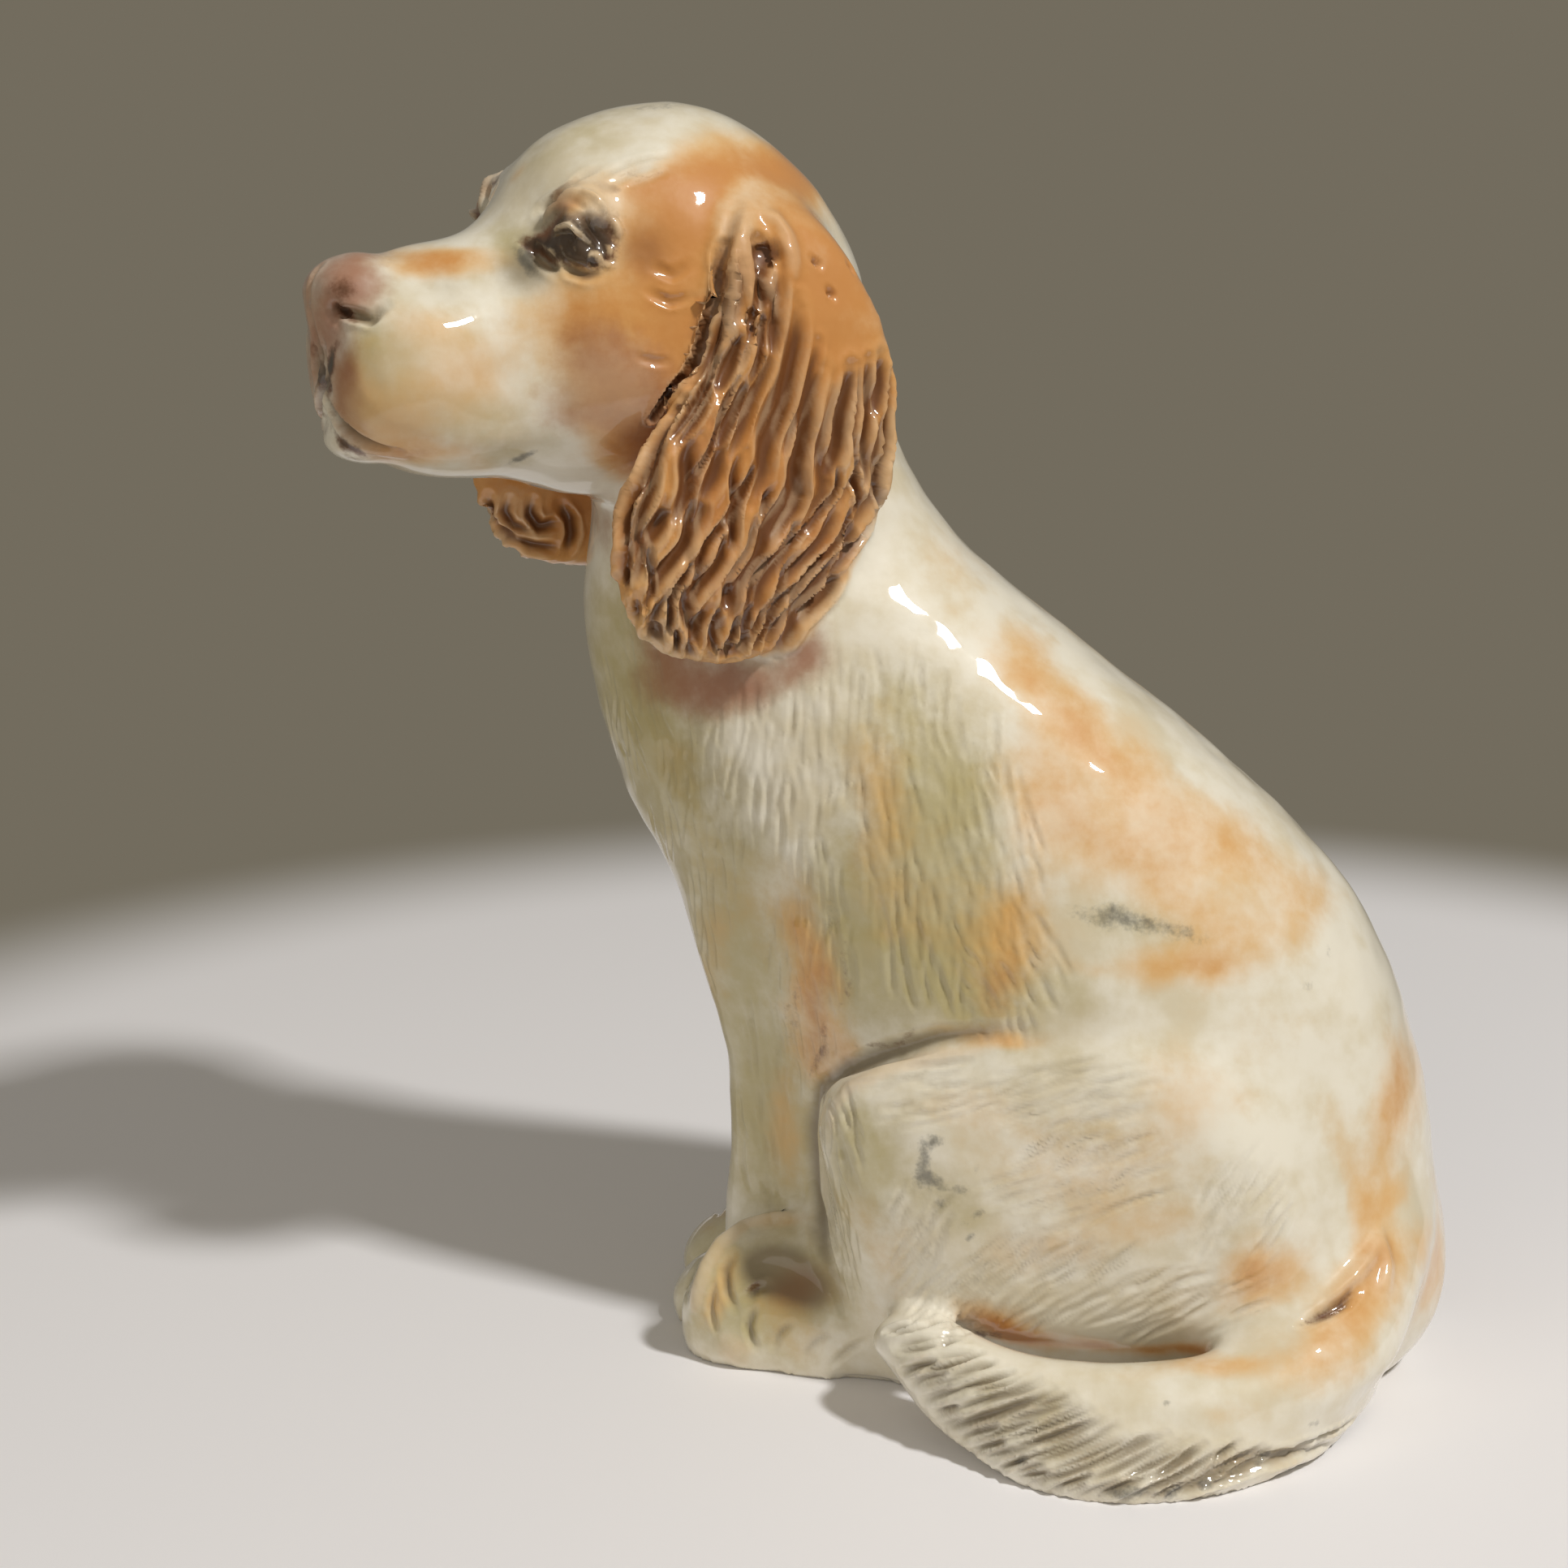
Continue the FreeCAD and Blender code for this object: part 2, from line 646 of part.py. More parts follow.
def nostril_bore(name, side):
    """One nostril, pierced at shares of the nose's own half sizes from its middle."""
    aim_out, aim_along, aim_up = NOSTRIL_AIM_SHARES
    aim = Vector(side * aim_out, aim_along, aim_up).normalize()
    made = bind(doc.addObject("Part::Cylinder", name), {
        "Radius": "Sizes.nostril_diameter / 2",
        "Height": "Sizes.nostril_depth * 2",
    })
    share_out, share_along, share_up = NOSTRIL_SHARES
    place = in_head(*nose_shares()) + Vector(
        side * share_out * size("nose_width") / 2,
        share_along * size("nose_length") / 2,
        share_up * size("nose_height") / 2,
    )
    start = place - aim * size("nostril_depth")
    made.Placement = head_placement().multiply(FreeCAD.Placement(start, FreeCAD.Rotation(UP, aim)))
    return made


SIDES = (("left", 1), ("right", -1))


def build_trunk(trunk, hollow, passage):
    """The hollow trunk and the slab that closes it."""
    slab = doc.addObject("Part::Common", "slab_form")
    slab.Base, slab.Tool, slab.Refine = slab_blank(), hollow, False
    return [cut("torso", trunk, hollow, passage), cut("base_slab", slab, vent_bore())]


def build_head(trunk, passage):
    """The head and what is luted to it."""
    head = clay("head_form", head_body(), head_placement())
    skull_hollow = head_pellet("hollow_form", ("skull_hollow",) * 3, SKULL_HOLLOW_SHARES)
    nose = clay("nose_form", nose_body(), head_placement())
    nostrils = [nostril_bore(f"{name}_nostril", side) for name, side in SIDES]
    chin = head_pellet("chin_form", ("chin_width", "chin_length", "chin_height"), CHIN_SHARES)
    pieces = [
        cut("head", head, trunk, skull_hollow, passage, nose),
        cut("nose", nose, *nostrils),
        cut("chin", chin, head),
    ]
    for name, side in SIDES:
        ear = clay(f"{name}_ear_form", ear_body(side), head_placement())
        eye = eye_pellet(f"{name}_eye_form", side)
        lids = eyelid_ring(f"{name}_eyelids_form", side)
        pieces.append(cut(f"{name}_ear", ear, trunk, head))
        pieces.append(cut(f"{name}_eye", eye, head))
        pieces.append(cut(f"{name}_eyelids", lids, head, eye))
    return pieces


def build_front_legs(trunk, ground):
    """The forelegs with their paws. Also returns their forms, which the hind paws press on."""
    pieces, forms = [], {}
    for name, side in SIDES:
        leg = clay(f"{name}_foreleg_form", foreleg_body(side))
        paw = clay(f"{name}_forepaw_form", forepaw_body(side))
        forms[name] = (leg, paw)
        pieces.append(cut(f"{name}_foreleg", leg, trunk))
        pieces.append(cut(f"{name}_forepaw", paw, leg, ground))
    return pieces, forms


def build_hind_legs(trunk, ground, front_forms):
    """The hind legs. Also returns the left one's forms, which the tail lies against."""
    left_forms = [
        clay("left_thigh_form", thigh_body()),
        clay("left_shin_form", shin_body()),
        clay("left_hind_paw_form", hind_paw_body()),
    ]
    right_forms = [mirrored(form.Name.replace("left", "right"), form) for form in left_forms]
    pieces = []
    for name, (thigh, shin, paw) in (("left", left_forms), ("right", right_forms)):
        pieces.append(cut(f"{name}_thigh", thigh, trunk))
        pieces.append(cut(f"{name}_shin", shin, thigh, trunk, ground))
        pieces.append(cut(f"{name}_hind_paw", paw, shin, thigh, trunk, *front_forms[name], ground))
    return pieces, left_forms


def build_tail(trunk, ground, thigh, shin, paw):
    """The tail and its feathering."""
    tail = clay("tail_form", tail_body())
    fringe = clay("fringe_form", fringe_body())
    return [
        cut("tail", tail, trunk, thigh, shin, paw, ground),
        cut("tail_fringe", fringe, tail, trunk, thigh, shin, ground),
    ]


def build():
    """Shapes every piece and fits it to its neighbours. Returns the finished pieces."""
    ground = ground_block()
    trunk = clay("trunk_form", trunk_body())
    hollow = clay("trunk_hollow", trunk_hollow())
    passage = passage_bore()
    front_pieces, front_forms = build_front_legs(trunk, ground)
    hind_pieces, left_hind_forms = build_hind_legs(trunk, ground, front_forms)
    return (
        build_trunk(trunk, hollow, passage)
        + build_head(trunk, passage)
        + front_pieces
        + hind_pieces
        + build_tail(trunk, ground, *left_hind_forms)
    )


def check(pieces):
    """Stops if any object failed or any piece isn't one sound solid, and prints the rest."""
    failed = [made.Name for made in doc.Objects if {"Invalid", "Error"} & set(made.State)]
    if failed:
        raise RuntimeError(f"these objects failed: {failed}")
    for piece in pieces:
        shape = piece.Shape
        if shape.isNull() or not shape.isValid() or len(shape.Solids) != 1:
            raise RuntimeError(f"{piece.Label} isn't one sound solid")
        print(f"{piece.Label}: {shape.Volume:.0f} cubic millimetres")


def write(pieces):
    """One STEP file for each piece, named after it."""
    os.makedirs("parts", exist_ok=True)
    for piece in pieces:
        piece.Shape.exportStep(f"parts/{piece.Label}.step")


finished = build()
doc.recompute()
check(finished)
write(finished)
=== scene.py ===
# %% [markdown]
# # A seated spaniel in glazed clay
# The real figure is hand modelled: a hollow trunk, with head, ears, legs, paws and tail luted
# on, its joins smeared shut, its hair scratched in with a tool, and the whole brushed with
# coloured glazes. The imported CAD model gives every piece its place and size. This scene fuses
# copies of those pieces into one skin, works that skin the way the potter did, and parts it
# again into the same pieces, so that their surfaces run into each other without a gap.

import json
import math

import bmesh
import bpy
import numpy as np
from mathutils import Matrix, Vector
from mathutils.bvhtree import BVHTree
from mathutils.kdtree import KDTree


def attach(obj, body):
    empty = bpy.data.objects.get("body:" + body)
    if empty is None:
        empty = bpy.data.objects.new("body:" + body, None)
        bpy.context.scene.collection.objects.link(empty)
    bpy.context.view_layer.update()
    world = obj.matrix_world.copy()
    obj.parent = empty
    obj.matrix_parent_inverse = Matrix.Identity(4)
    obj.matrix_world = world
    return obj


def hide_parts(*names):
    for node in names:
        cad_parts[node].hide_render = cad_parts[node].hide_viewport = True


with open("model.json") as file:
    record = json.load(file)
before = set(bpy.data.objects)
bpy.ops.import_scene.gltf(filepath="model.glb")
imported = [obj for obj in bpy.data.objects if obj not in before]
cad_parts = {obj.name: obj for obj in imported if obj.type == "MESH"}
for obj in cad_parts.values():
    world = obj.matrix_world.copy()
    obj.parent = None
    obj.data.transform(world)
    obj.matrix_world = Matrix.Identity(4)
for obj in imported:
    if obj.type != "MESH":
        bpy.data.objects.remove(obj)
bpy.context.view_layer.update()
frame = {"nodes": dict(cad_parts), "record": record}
MM = 0.001
random = np.random.default_rng(7)


def link(made):
    """Puts a new object into the scene."""
    bpy.context.scene.collection.objects.link(made)
    return made


# %% [markdown]
# ## Camera
# The photograph was taken with a long lens from the dog's left, a little above its head. A
# camera needs a place, a direction and a lens. The lens is worked out from the picture's
# width on a 36 mm sensor.

# %% Camera
PICTURE = 1932
FOCAL = 3470
SENSOR = 36.0
CAMERA_PLACE = Vector((354.5, 26.5, 167.0))
CAMERA_TURN = math.radians(100)
CAMERA_TILT = math.radians(14.6)

look = Vector((
    -math.sin(CAMERA_TURN) * math.cos(CAMERA_TILT),
    math.cos(CAMERA_TURN) * math.cos(CAMERA_TILT),
    -math.sin(CAMERA_TILT),
))
across = look.cross(Vector((0, 0, 1))).normalized()
above = across.cross(look)

lens = bpy.data.cameras.new("photo_camera")
lens.sensor_width = SENSOR
lens.lens = FOCAL / PICTURE * SENSOR
lens.clip_start = 0.01
camera = link(bpy.data.objects.new("photo_camera", lens))
camera.location = CAMERA_PLACE * MM
camera.rotation_euler = look.to_track_quat("-Z", "Y").to_euler()
bpy.context.scene.camera = camera
print(f"lens {lens.lens:.1f} mm")

# %% [markdown]
# ## Fusing the pieces
# Copies of the CAD meshes are joined and run through a voxel Remesh, which keeps only the
# outside of whatever overlaps or touches, in even little squares. A boolean union would keep
# each hard edge, while even squares can be pushed and smoothed like clay.

# %% Fuse
VOXEL = 0.8
SLAB = "base_slab"
names = sorted(frame["nodes"])


def lidded(mesh):
    """A copy of the slab's mesh without its air hole, so that the hollow stays shut."""
    bm = bmesh.new()
    bm.from_mesh(mesh)
    hull = bmesh.ops.convex_hull(bm, input=bm.verts)
    bmesh.ops.delete(bm, geom=hull["geom_interior"] + hull["geom_unused"], context="VERTS")
    lid = bpy.data.meshes.new("slab_lid")
    bm.to_mesh(lid)
    bm.free()
    return lid


# Clay pressed into the creases behind the forelegs: middle and half sizes.
FILLETS = (((8, -29, 24), (5.5, 4.5, 26)), ((6, -31, 44), (6, 5, 12)))

joined = bmesh.new()
for name in names:
    mesh = frame["nodes"][name].data
    joined.from_mesh(lidded(mesh) if name == SLAB else mesh)
for (x, y, z), reaches in FILLETS:
    for side in (1, -1):
        shape = Matrix.LocRotScale(Vector((side * x, y, z)) * MM, None, Vector(reaches) * MM)
        bmesh.ops.create_icosphere(joined, subdivisions=3, radius=1, matrix=shape)
raw = bpy.data.meshes.new("raw_clay")
joined.to_mesh(raw)
joined.free()
lump = link(bpy.data.objects.new("raw_clay", raw))
fuse = lump.modifiers.new("fuse", "REMESH")
fuse.mode = "VOXEL"
fuse.voxel_size = VOXEL * MM
skin = bpy.data.meshes.new_from_object(lump.evaluated_get(bpy.context.evaluated_depsgraph_get()))
bpy.data.objects.remove(lump)
print(f"fused skin: {len(skin.polygons)} faces")

# %% [markdown]
# ## Which face is whose
# Each face of the skin takes the name of the CAD piece that it lies on, the nearest one. A
# vote among neighbours then smooths the borders. The names ride along through all the
# shaping that follows, and part the skin at the end.

# %% Name the faces
VOTES = 10
OWN_VOTE = 1.5


def read(items, what, wide=1, kind=float):
    """What the items of a mesh hold under a name: a number each, or a row of several."""
    flat = np.empty(len(items) * wide, kind)
    items.foreach_get(what, flat)
    return flat.reshape(-1, wide) if wide > 1 else flat


def points_of(mesh, what="co"):
    """The points of a mesh, or with what="normal" their directions, one row each."""
    return read(mesh.vertices, what, 3)


def nearest_piece(places):
    """The index in names of the CAD piece nearest to each place."""
    corners, faces, owners = [], [], []
    for index, name in enumerate(names):
        mesh = frame["nodes"][name].data
        start = len(corners)
        corners.extend(points_of(mesh).tolist())
        faces.extend([[start + v for v in polygon.vertices] for polygon in mesh.polygons])
        owners.extend([index] * len(mesh.polygons))
    tree = BVHTree.FromPolygons(corners, faces)
    return np.array([owners[tree.find_nearest(place)[2]] for place in places.tolist()])


def face_middles(mesh):
    """The middle of each face."""
    return read(mesh.polygons, "center", 3)


def face_pairs(mesh):
    """Two columns of faces that share an edge."""
    sizes = read(mesh.polygons, "loop_total", kind=int)
    edges = read(mesh.loops, "edge_index", kind=int)
    faces = np.repeat(np.arange(len(sizes)), sizes)
    order = np.argsort(edges, kind="stable")
    edges, faces = edges[order], faces[order]
    same = edges[1:] == edges[:-1]
    return faces[:-1][same], faces[1:][same]


def vote(owners, pairs, rounds):
    """Each face goes over to the piece that most of its neighbours belong to."""
    first, second = pairs
    for _ in range(rounds):
        votes = np.zeros((len(owners), len(names)), np.float32)
        votes[np.arange(len(owners)), owners] = OWN_VOTE
        np.add.at(votes, (first, owners[second]), 1)
        np.add.at(votes, (second, owners[first]), 1)
        owners = votes.argmax(1)
    return owners


def gathered(owners, pairs):
    """Each piece keeps its largest patch of faces, and its other patches go to their neighbours."""
    first, second = pairs
    same = owners[first] == owners[second]
    near, far = first[same], second[same]
    patch, before = np.arange(len(owners)), None
    while before is None or (patch != before).any():
        before = patch.copy()
        np.minimum.at(patch, near, before[far])
        np.minimum.at(patch, far, before[near])
        patch = patch[patch]
    counts = np.bincount(patch, minlength=len(owners))
    stray = np.ones(len(owners), bool)
    for index in np.unique(owners):
        own = patch[owners == index]
        stray[patch == own[counts[own].argmax()]] = False
    left = -1
    while left != stray.sum():
        left = stray.sum()
        for ours, theirs in ((first, second), (second, first)):
            rim = stray[ours] & ~stray[theirs]
            owners[ours[rim]] = owners[theirs[rim]]
            stray[ours[rim]] = False
    return owners


pairs = face_pairs(skin)
owners = gathered(vote(nearest_piece(face_middles(skin)), pairs, VOTES), pairs)
skin.attributes.new("piece", "INT", "FACE").data.foreach_set("value", owners.astype(np.int32))
for index, name in enumerate(names):
    print(f"{name}: {(owners == index).sum()} faces")

# %% [markdown]
# ## Melting the joins
# A potter smears the clay across a join with a thumb, so that neck runs into shoulder and
# haunch into rump, and leaves other joins sharp, as under an ear. Smoothing moves each point
# towards the middle of its neighbours. Here it works in rounds, and each join has its own
# reach and number of rounds.

# %% Melt the joins
PULL = 0.6
# The share of a join's reach within which it melts fully.
CORE = 0.3


def edges_of(mesh):
    """The two ends of each edge."""
    return read(mesh.edges, "vertices", 2, int)


def put(mesh, places):
    """Moves the points of a mesh to places in millimetres."""
    mesh.vertices.foreach_set("co", (places * MM).ravel())
    mesh.update()


def melt(points, edges, amount, rounds):
    """Smooths the points in rounds. amount is each point's share, from 0 to 1."""
    count = len(points)
    first, second = edges.T
    links = np.bincount(first, minlength=count) + np.bincount(second, minlength=count)
    share = (amount * PULL / links)[:, None]
    for _ in range(rounds):
        pulls = np.empty_like(points)
        for axis in range(3):
            gap = points[second, axis] - points[first, axis]
            pulls[:, axis] = np.bincount(first, gap, count) - np.bincount(second, gap, count)
        points = points + pulls * share
    return points


def corner_owners(mesh, owners):
    """A table of points by pieces: whether a face of the piece meets at the point."""
    sizes = read(mesh.polygons, "loop_total", kind=int)
    corners = read(mesh.loops, "vertex_index", kind=int)
    spread = np.repeat(owners, sizes)
    table = np.zeros((len(mesh.vertices), len(names)), bool)
    table[corners, spread] = True
    return table


def ease(value, low, high):
    """A soft step from 0 at low to 1 at high, which may lie either way round."""
    t = np.clip((value - low) / (high - low), 0, 1)
    return t * t * (3 - 2 * t)


def near_join(points, table, one, other, reach):
    """1 on the join between two pieces, and less and less up to reach millimetres away."""
    on_join = table[:, names.index(one)] & table[:, names.index(other)]
    places = points[on_join]
    if not len(places):
        return np.zeros(len(points))
    tree = KDTree(len(places))
    for index, place in enumerate(places.tolist()):
        tree.insert(place, index)
    tree.balance()
    low, high = places.min(0) - reach, places.max(0) + reach
    close = np.flatnonzero(np.all((points > low) & (points < high), axis=1))
    amount = np.zeros(len(points))
    gaps = np.array([tree.find(points[i].tolist())[2] for i in close])
    amount[close] = ease(gaps, reach, reach * CORE)
    return amount


JOINS = (
    # piece, piece, reach in millimetres, rounds
    ("head", "torso", 9, 60),
    ("torso", "left_foreleg", 12, 120),
    ("torso", "right_foreleg", 12, 120),
    ("left_foreleg", "left_forepaw", 4, 25),
    ("right_foreleg", "right_forepaw", 4, 25),
    ("left_thigh", "left_shin", 9, 70),
    ("right_thigh", "right_shin", 9, 70),
    ("left_shin", "left_hind_paw", 6, 40),
    ("right_shin", "right_hind_paw", 6, 40),
    ("torso", "tail", 9, 80),
    ("tail", "tail_fringe", 5, 40),
    ("head", "nose", 2.5, 8),
    ("head", "chin", 2, 6),
)
SKIN_ROUNDS = 4
HIP_REACH = 16
HIP_ROUNDS = 160
HIP_BACK = (8, 34)
CROWN_REACH = 7
CROWN_ROUNDS = 60
CROWN_UP = (134, 143)
CROWN_AHEAD = (14, 5)
FOOT = 0.5

HEAD_TURN = math.radians(38)
HEAD_PLACE = np.array([0.0, -40.0, 0.0])
forward = np.array([math.sin(HEAD_TURN), -math.cos(HEAD_TURN), 0.0])
leftward = np.array([math.cos(HEAD_TURN), math.sin(HEAD_TURN), 0.0])
upward = np.array([0.0, 0.0, 1.0])


def in_head(places):
    """Rows of forward, left and up in the turned head, for rows of x, y, z."""
    return (np.asarray(places) - HEAD_PLACE) @ np.array([forward, leftward, upward]).T


points = points_of(skin) / MM
edges = edges_of(skin)
table = corner_owners(skin, owners)
points = melt(points, edges, np.ones(len(points)), SKIN_ROUNDS)
for one, other, reach, rounds in JOINS:
    points = melt(points, edges, near_join(points, table, one, other, reach), rounds)
for side in ("left", "right"):
    hip = near_join(points, table, "torso", side + "_thigh", HIP_REACH)
    hip = hip * ease(points[:, 1], *HIP_BACK)
    points = melt(points, edges, hip, HIP_ROUNDS)
ahead, _, up = in_head(points).T
crown = ease(up, *CROWN_UP) * ease(ahead, *CROWN_AHEAD)
for side in ("left", "right"):
    root = near_join(points, table, "head", side + "_ear", CROWN_REACH) * crown
    points = melt(points, edges, root, CROWN_ROUNDS)
points[:, 2] = np.where(points[:, 2] < FOOT, np.minimum(points[:, 2], 0), points[:, 2])
points[:, 2] = np.maximum(points[:, 2], 0)
put(skin, points)

# %% [markdown]
# ## A finer skin where hair is carved
# Tool marks are under a millimetre wide, so the squares there have to be finer. Only the
# pieces with carved hair, the face and the paws are divided once more, and the smooth back
# stays coarse, because every face costs time.

# %% Finer squares
CARVED = (
    "left_ear", "right_ear", "tail", "tail_fringe", "nose", "chin", "left_eye", "right_eye",
    "left_eyelids", "right_eyelids", "left_forepaw", "right_forepaw", "left_hind_paw",
    "right_hind_paw", "left_shin", "left_thigh",
)
FACE_STARTS = 14
COMBED_SIDE, COMBED_TO, COMBED_ABOVE = 3, 8, 20
FINER_ROUNDS = 2
ON_FLOOR = 0.05
LEVELLED = 0.12


def finer(mesh, chosen):
    """Divides the chosen faces of a mesh into four."""
    bm = bmesh.new()
    bm.from_mesh(mesh)
    bm.faces.ensure_lookup_table()
    rims = {edge for f in np.flatnonzero(chosen) for edge in bm.faces[f].edges}
    bmesh.ops.subdivide_edges(bm, edges=list(rims), cuts=1, use_grid_fill=True)
    bm.to_mesh(mesh)
    bm.free()


middles = face_middles(skin) / MM
chosen = np.isin(owners, [names.index(name) for name in CARVED])
chosen |= (owners == names.index("head")) & (in_head(middles)[:, 0] > FACE_STARTS)
combed = np.isin(owners, [names.index("torso"), names.index("left_foreleg")])
combed &= (middles[:, 0] > COMBED_SIDE) & (middles[:, 1] < COMBED_TO) & (middles[:, 2] > COMBED_ABOVE)
finer(skin, (chosen | combed) & (middles[:, 2] > ON_FLOOR))
owners = read(skin.attributes["piece"].data, "value", kind=np.int32)
edges = edges_of(skin)
points = melt(points_of(skin) / MM, edges, np.ones(len(skin.vertices)), FINER_ROUNDS)
points[:, 2] = np.where(points[:, 2] < LEVELLED, 0, points[:, 2])
put(skin, points)
print(f"finer skin: {len(skin.polygons)} faces")

# %% [markdown]
# ## Tools
# Two tools shape the clay: a thumb that pushes a soft dent or lays a soft swelling, and a
# pointed stick that scratches a groove and throws up a burr on both sides. Marks on the side
# that the photograph shows are placed where the camera sees them, on whatever clay is there.

# %% Tools
def sight(u, v):
    """The direction in which the camera sees the spot u, v of the picture."""
    return look + across * ((u - PICTURE / 2) / FOCAL) - above * ((v - PICTURE / 2) / FOCAL)


# A path is cut where it would leap further than this, in millimetres.
LEAP = 3
# How far a thumb and a stick are felt, and where the burr stands, in reaches or widths.
THUMB_FELT, STICK_FELT = 2.5, 3
BURR_AT, BURR_WIDE = 1.5, 0.6
CELLS = 48


class Work:
    """The skin while tools work on it, in millimetres."""

    def __init__(self, mesh):
        self.mesh = mesh
        self.groove = np.zeros(len(mesh.vertices))
        self.ridge = np.zeros(len(mesh.vertices))
        self.settle()

    def settle(self):
        """Takes stock of the shape after marks were pressed in."""
        self.points = points_of(self.mesh) / MM
        self.normals = points_of(self.mesh, "normal")
        self.cut = np.zeros(len(self.points))
        self.raised = np.zeros(len(self.points))
        faces = [polygon.vertices[:] for polygon in self.mesh.polygons]
        self.tree = BVHTree.FromPolygons(self.points.tolist(), faces)

    def seen(self, u, v):
        """The place on the clay that the camera sees at u, v, or None beside it."""
        return self.tree.ray_cast(CAMERA_PLACE, sight(u, v))[0]

    def drawn(self, spots, step=5):
        """A path over the clay through spots of the picture."""
        spots = np.array(spots, float)
        run = np.concatenate([[0], np.cumsum(np.hypot(*np.diff(spots, axis=0).T))])
        stops = np.linspace(0, run[-1], max(2, int(run[-1] / step)))
        places = [self.seen(np.interp(t, run, spots[:, 0]), np.interp(t, run, spots[:, 1])) for t in stops]
        return np.array([place for place in places if place is not None])

    def snapped(self, path):
        """A path moved onto the nearest clay."""
        return np.array([self.tree.find_nearest(place)[0] for place in path.tolist()])

    def close(self, low, high):
        """The points inside a box."""
        return np.flatnonzero(np.all((self.points > low) & (self.points < high), axis=1))

    def thumb(self, place, reach, rise):
        """A soft swelling, or a dent where rise is negative."""
        near = self.close(place - THUMB_FELT * reach, place + THUMB_FELT * reach)
        gap = (((self.points[near] - place) / reach) ** 2).sum(1)
        amount = abs(rise) * np.exp(-gap)
        target = self.raised if rise > 0 else self.cut
        target[near] += amount

    def stick(self, path, width, depth, burr=0.3):
        """A groove along a path, which fades in and out, with a burr on both sides."""
        if len(path) < 2:
            return
        margin = STICK_FELT * width
        near = self.close(path.min(0) - margin, path.max(0) + margin)
        if not len(near):
            return
        spots = self.points[near]
        gap = np.full(len(near), np.inf)
        along = np.zeros(len(near))
        for index, (start, end) in enumerate(zip(path[:-1], path[1:])):
            run = end - start
            if np.linalg.norm(run) > LEAP:
                continue
            share = np.clip(((spots - start) @ run) / max(run @ run, 1e-9), 0, 1)
            distance = np.linalg.norm(spots - start - share[:, None] * run, axis=1)
            nearer = distance < gap
            gap[nearer] = distance[nearer]
            along[nearer] = (index + share[nearer]) / (len(path) - 1)
        fade = np.sqrt(np.clip(np.sin(np.pi * np.clip(along, 0.02, 0.98)), 0, 1))
        gap = gap / width
        self.cut[near] = np.maximum(self.cut[near], depth * fade * np.exp(-gap**2))
        edge = depth * burr * fade * np.exp(-(((gap - BURR_AT) / BURR_WIDE) ** 2))
        self.raised[near] = np.maximum(self.raised[near], edge)

    def roll(self, path, width, height):
        """A thin roll of clay laid along a path."""
        before = self.cut
        self.cut = np.zeros(len(self.points))
        self.stick(path, width, height, burr=0)
        self.raised, self.cut = self.raised + self.cut, before

    def both(self, tool, rows, turned, **extra):
        """Runs a tool along paths of the picture, and along the same paths turned over."""
        for spots, width, depth in rows:
            path = self.drawn(spots)
            for one in (path, turned(path)):
                tool(one, width, depth, **extra)

    def press(self):
        """Moves the points by the marks made since the last settling."""
        depth = self.raised * (1 - np.clip(self.cut, 0, 1)) - self.cut
        self.groove = np.maximum(self.groove, self.cut)
        self.ridge = np.maximum(self.ridge, self.raised)
        moved = self.points + self.normals * depth[:, None]
        moved[:, 2] = np.where(self.points[:, 2] < ON_FLOOR, 0, np.maximum(moved[:, 2], 0))
        put(self.mesh, moved)
        self.settle()


def clouds(places, grain, seed):
    """Soft random numbers from -1 to 1 in lumps about grain millimetres wide."""
    lattice = np.random.default_rng(seed).uniform(-1, 1, (CELLS, CELLS, CELLS))
    place = places / grain
    cell = np.floor(place).astype(int)
    share = place - cell
    share = share * share * (3 - 2 * share)
    total = np.zeros(len(places))
    for corner in np.ndindex(2, 2, 2):
        weight = np.prod(np.where(corner, share, 1 - share), axis=1)
        i, j, k = ((cell + corner) % CELLS).T
        total += weight * lattice[i, j, k]
    return total


work = Work(skin)

# %% [markdown]
# ## The head
# The brow, the stop, the cheeks and the lips are soft forms, so a thumb makes them. Places
# in the head are written as forward, left and up from the neck, and made on both sides.

# %% Head
def out_of_head(place):
    """x, y, z of a place given as forward, left and up in the turned head."""
    ahead, left, up = place
    return HEAD_PLACE + forward * ahead + leftward * left + upward * up


def both_sides(place):
    """The same place on the dog's left and right."""
    ahead, left, up = place
    return out_of_head((ahead, left, up)), out_of_head((ahead, -left, up))


HEAD_DABS = (
    # forward, left, up, reach, rise
    (29.0, 14.5, 153.0, 4.5, 1.0),
    (34.0, 12.0, 148.5, 3.2, -1.0),
    (35.5, 10.5, 142.5, 4.0, -0.9),
    (24.0, 19.0, 145.0, 4.5, -0.6),
    (48.0, 9.5, 131.0, 6.5, 1.3),
    (52.0, 6.5, 127.0, 4.5, 0.8),
    (40.0, 13.5, 124.0, 6.0, 0.5),
    (28.0, 18.0, 128.0, 8.0, 0.8),
    (45.0, 8.5, 140.5, 4.0, -0.4),
)
for ahead, left, up, reach, rise in HEAD_DABS:
    for place in both_sides((ahead, left, up)):
        snapped = work.tree.find_nearest(place)[0]
        work.thumb(np.array(snapped), reach, rise)
work.press()

# %% [markdown]
# Each eye is a rough pellet of dark glaze among short rolls of clay. The near eye's rolls
# and cuts are drawn where the photograph shows them, and the far eye gets the same ones,
# turned over to the other side of the head.

# %% Eyes
def other_side(path):
    """A path carried over to the other side of the head and laid on the clay."""
    places = [out_of_head((ahead, -left, up)) for ahead, left, up in in_head(path)]
    return work.snapped(np.array(places))


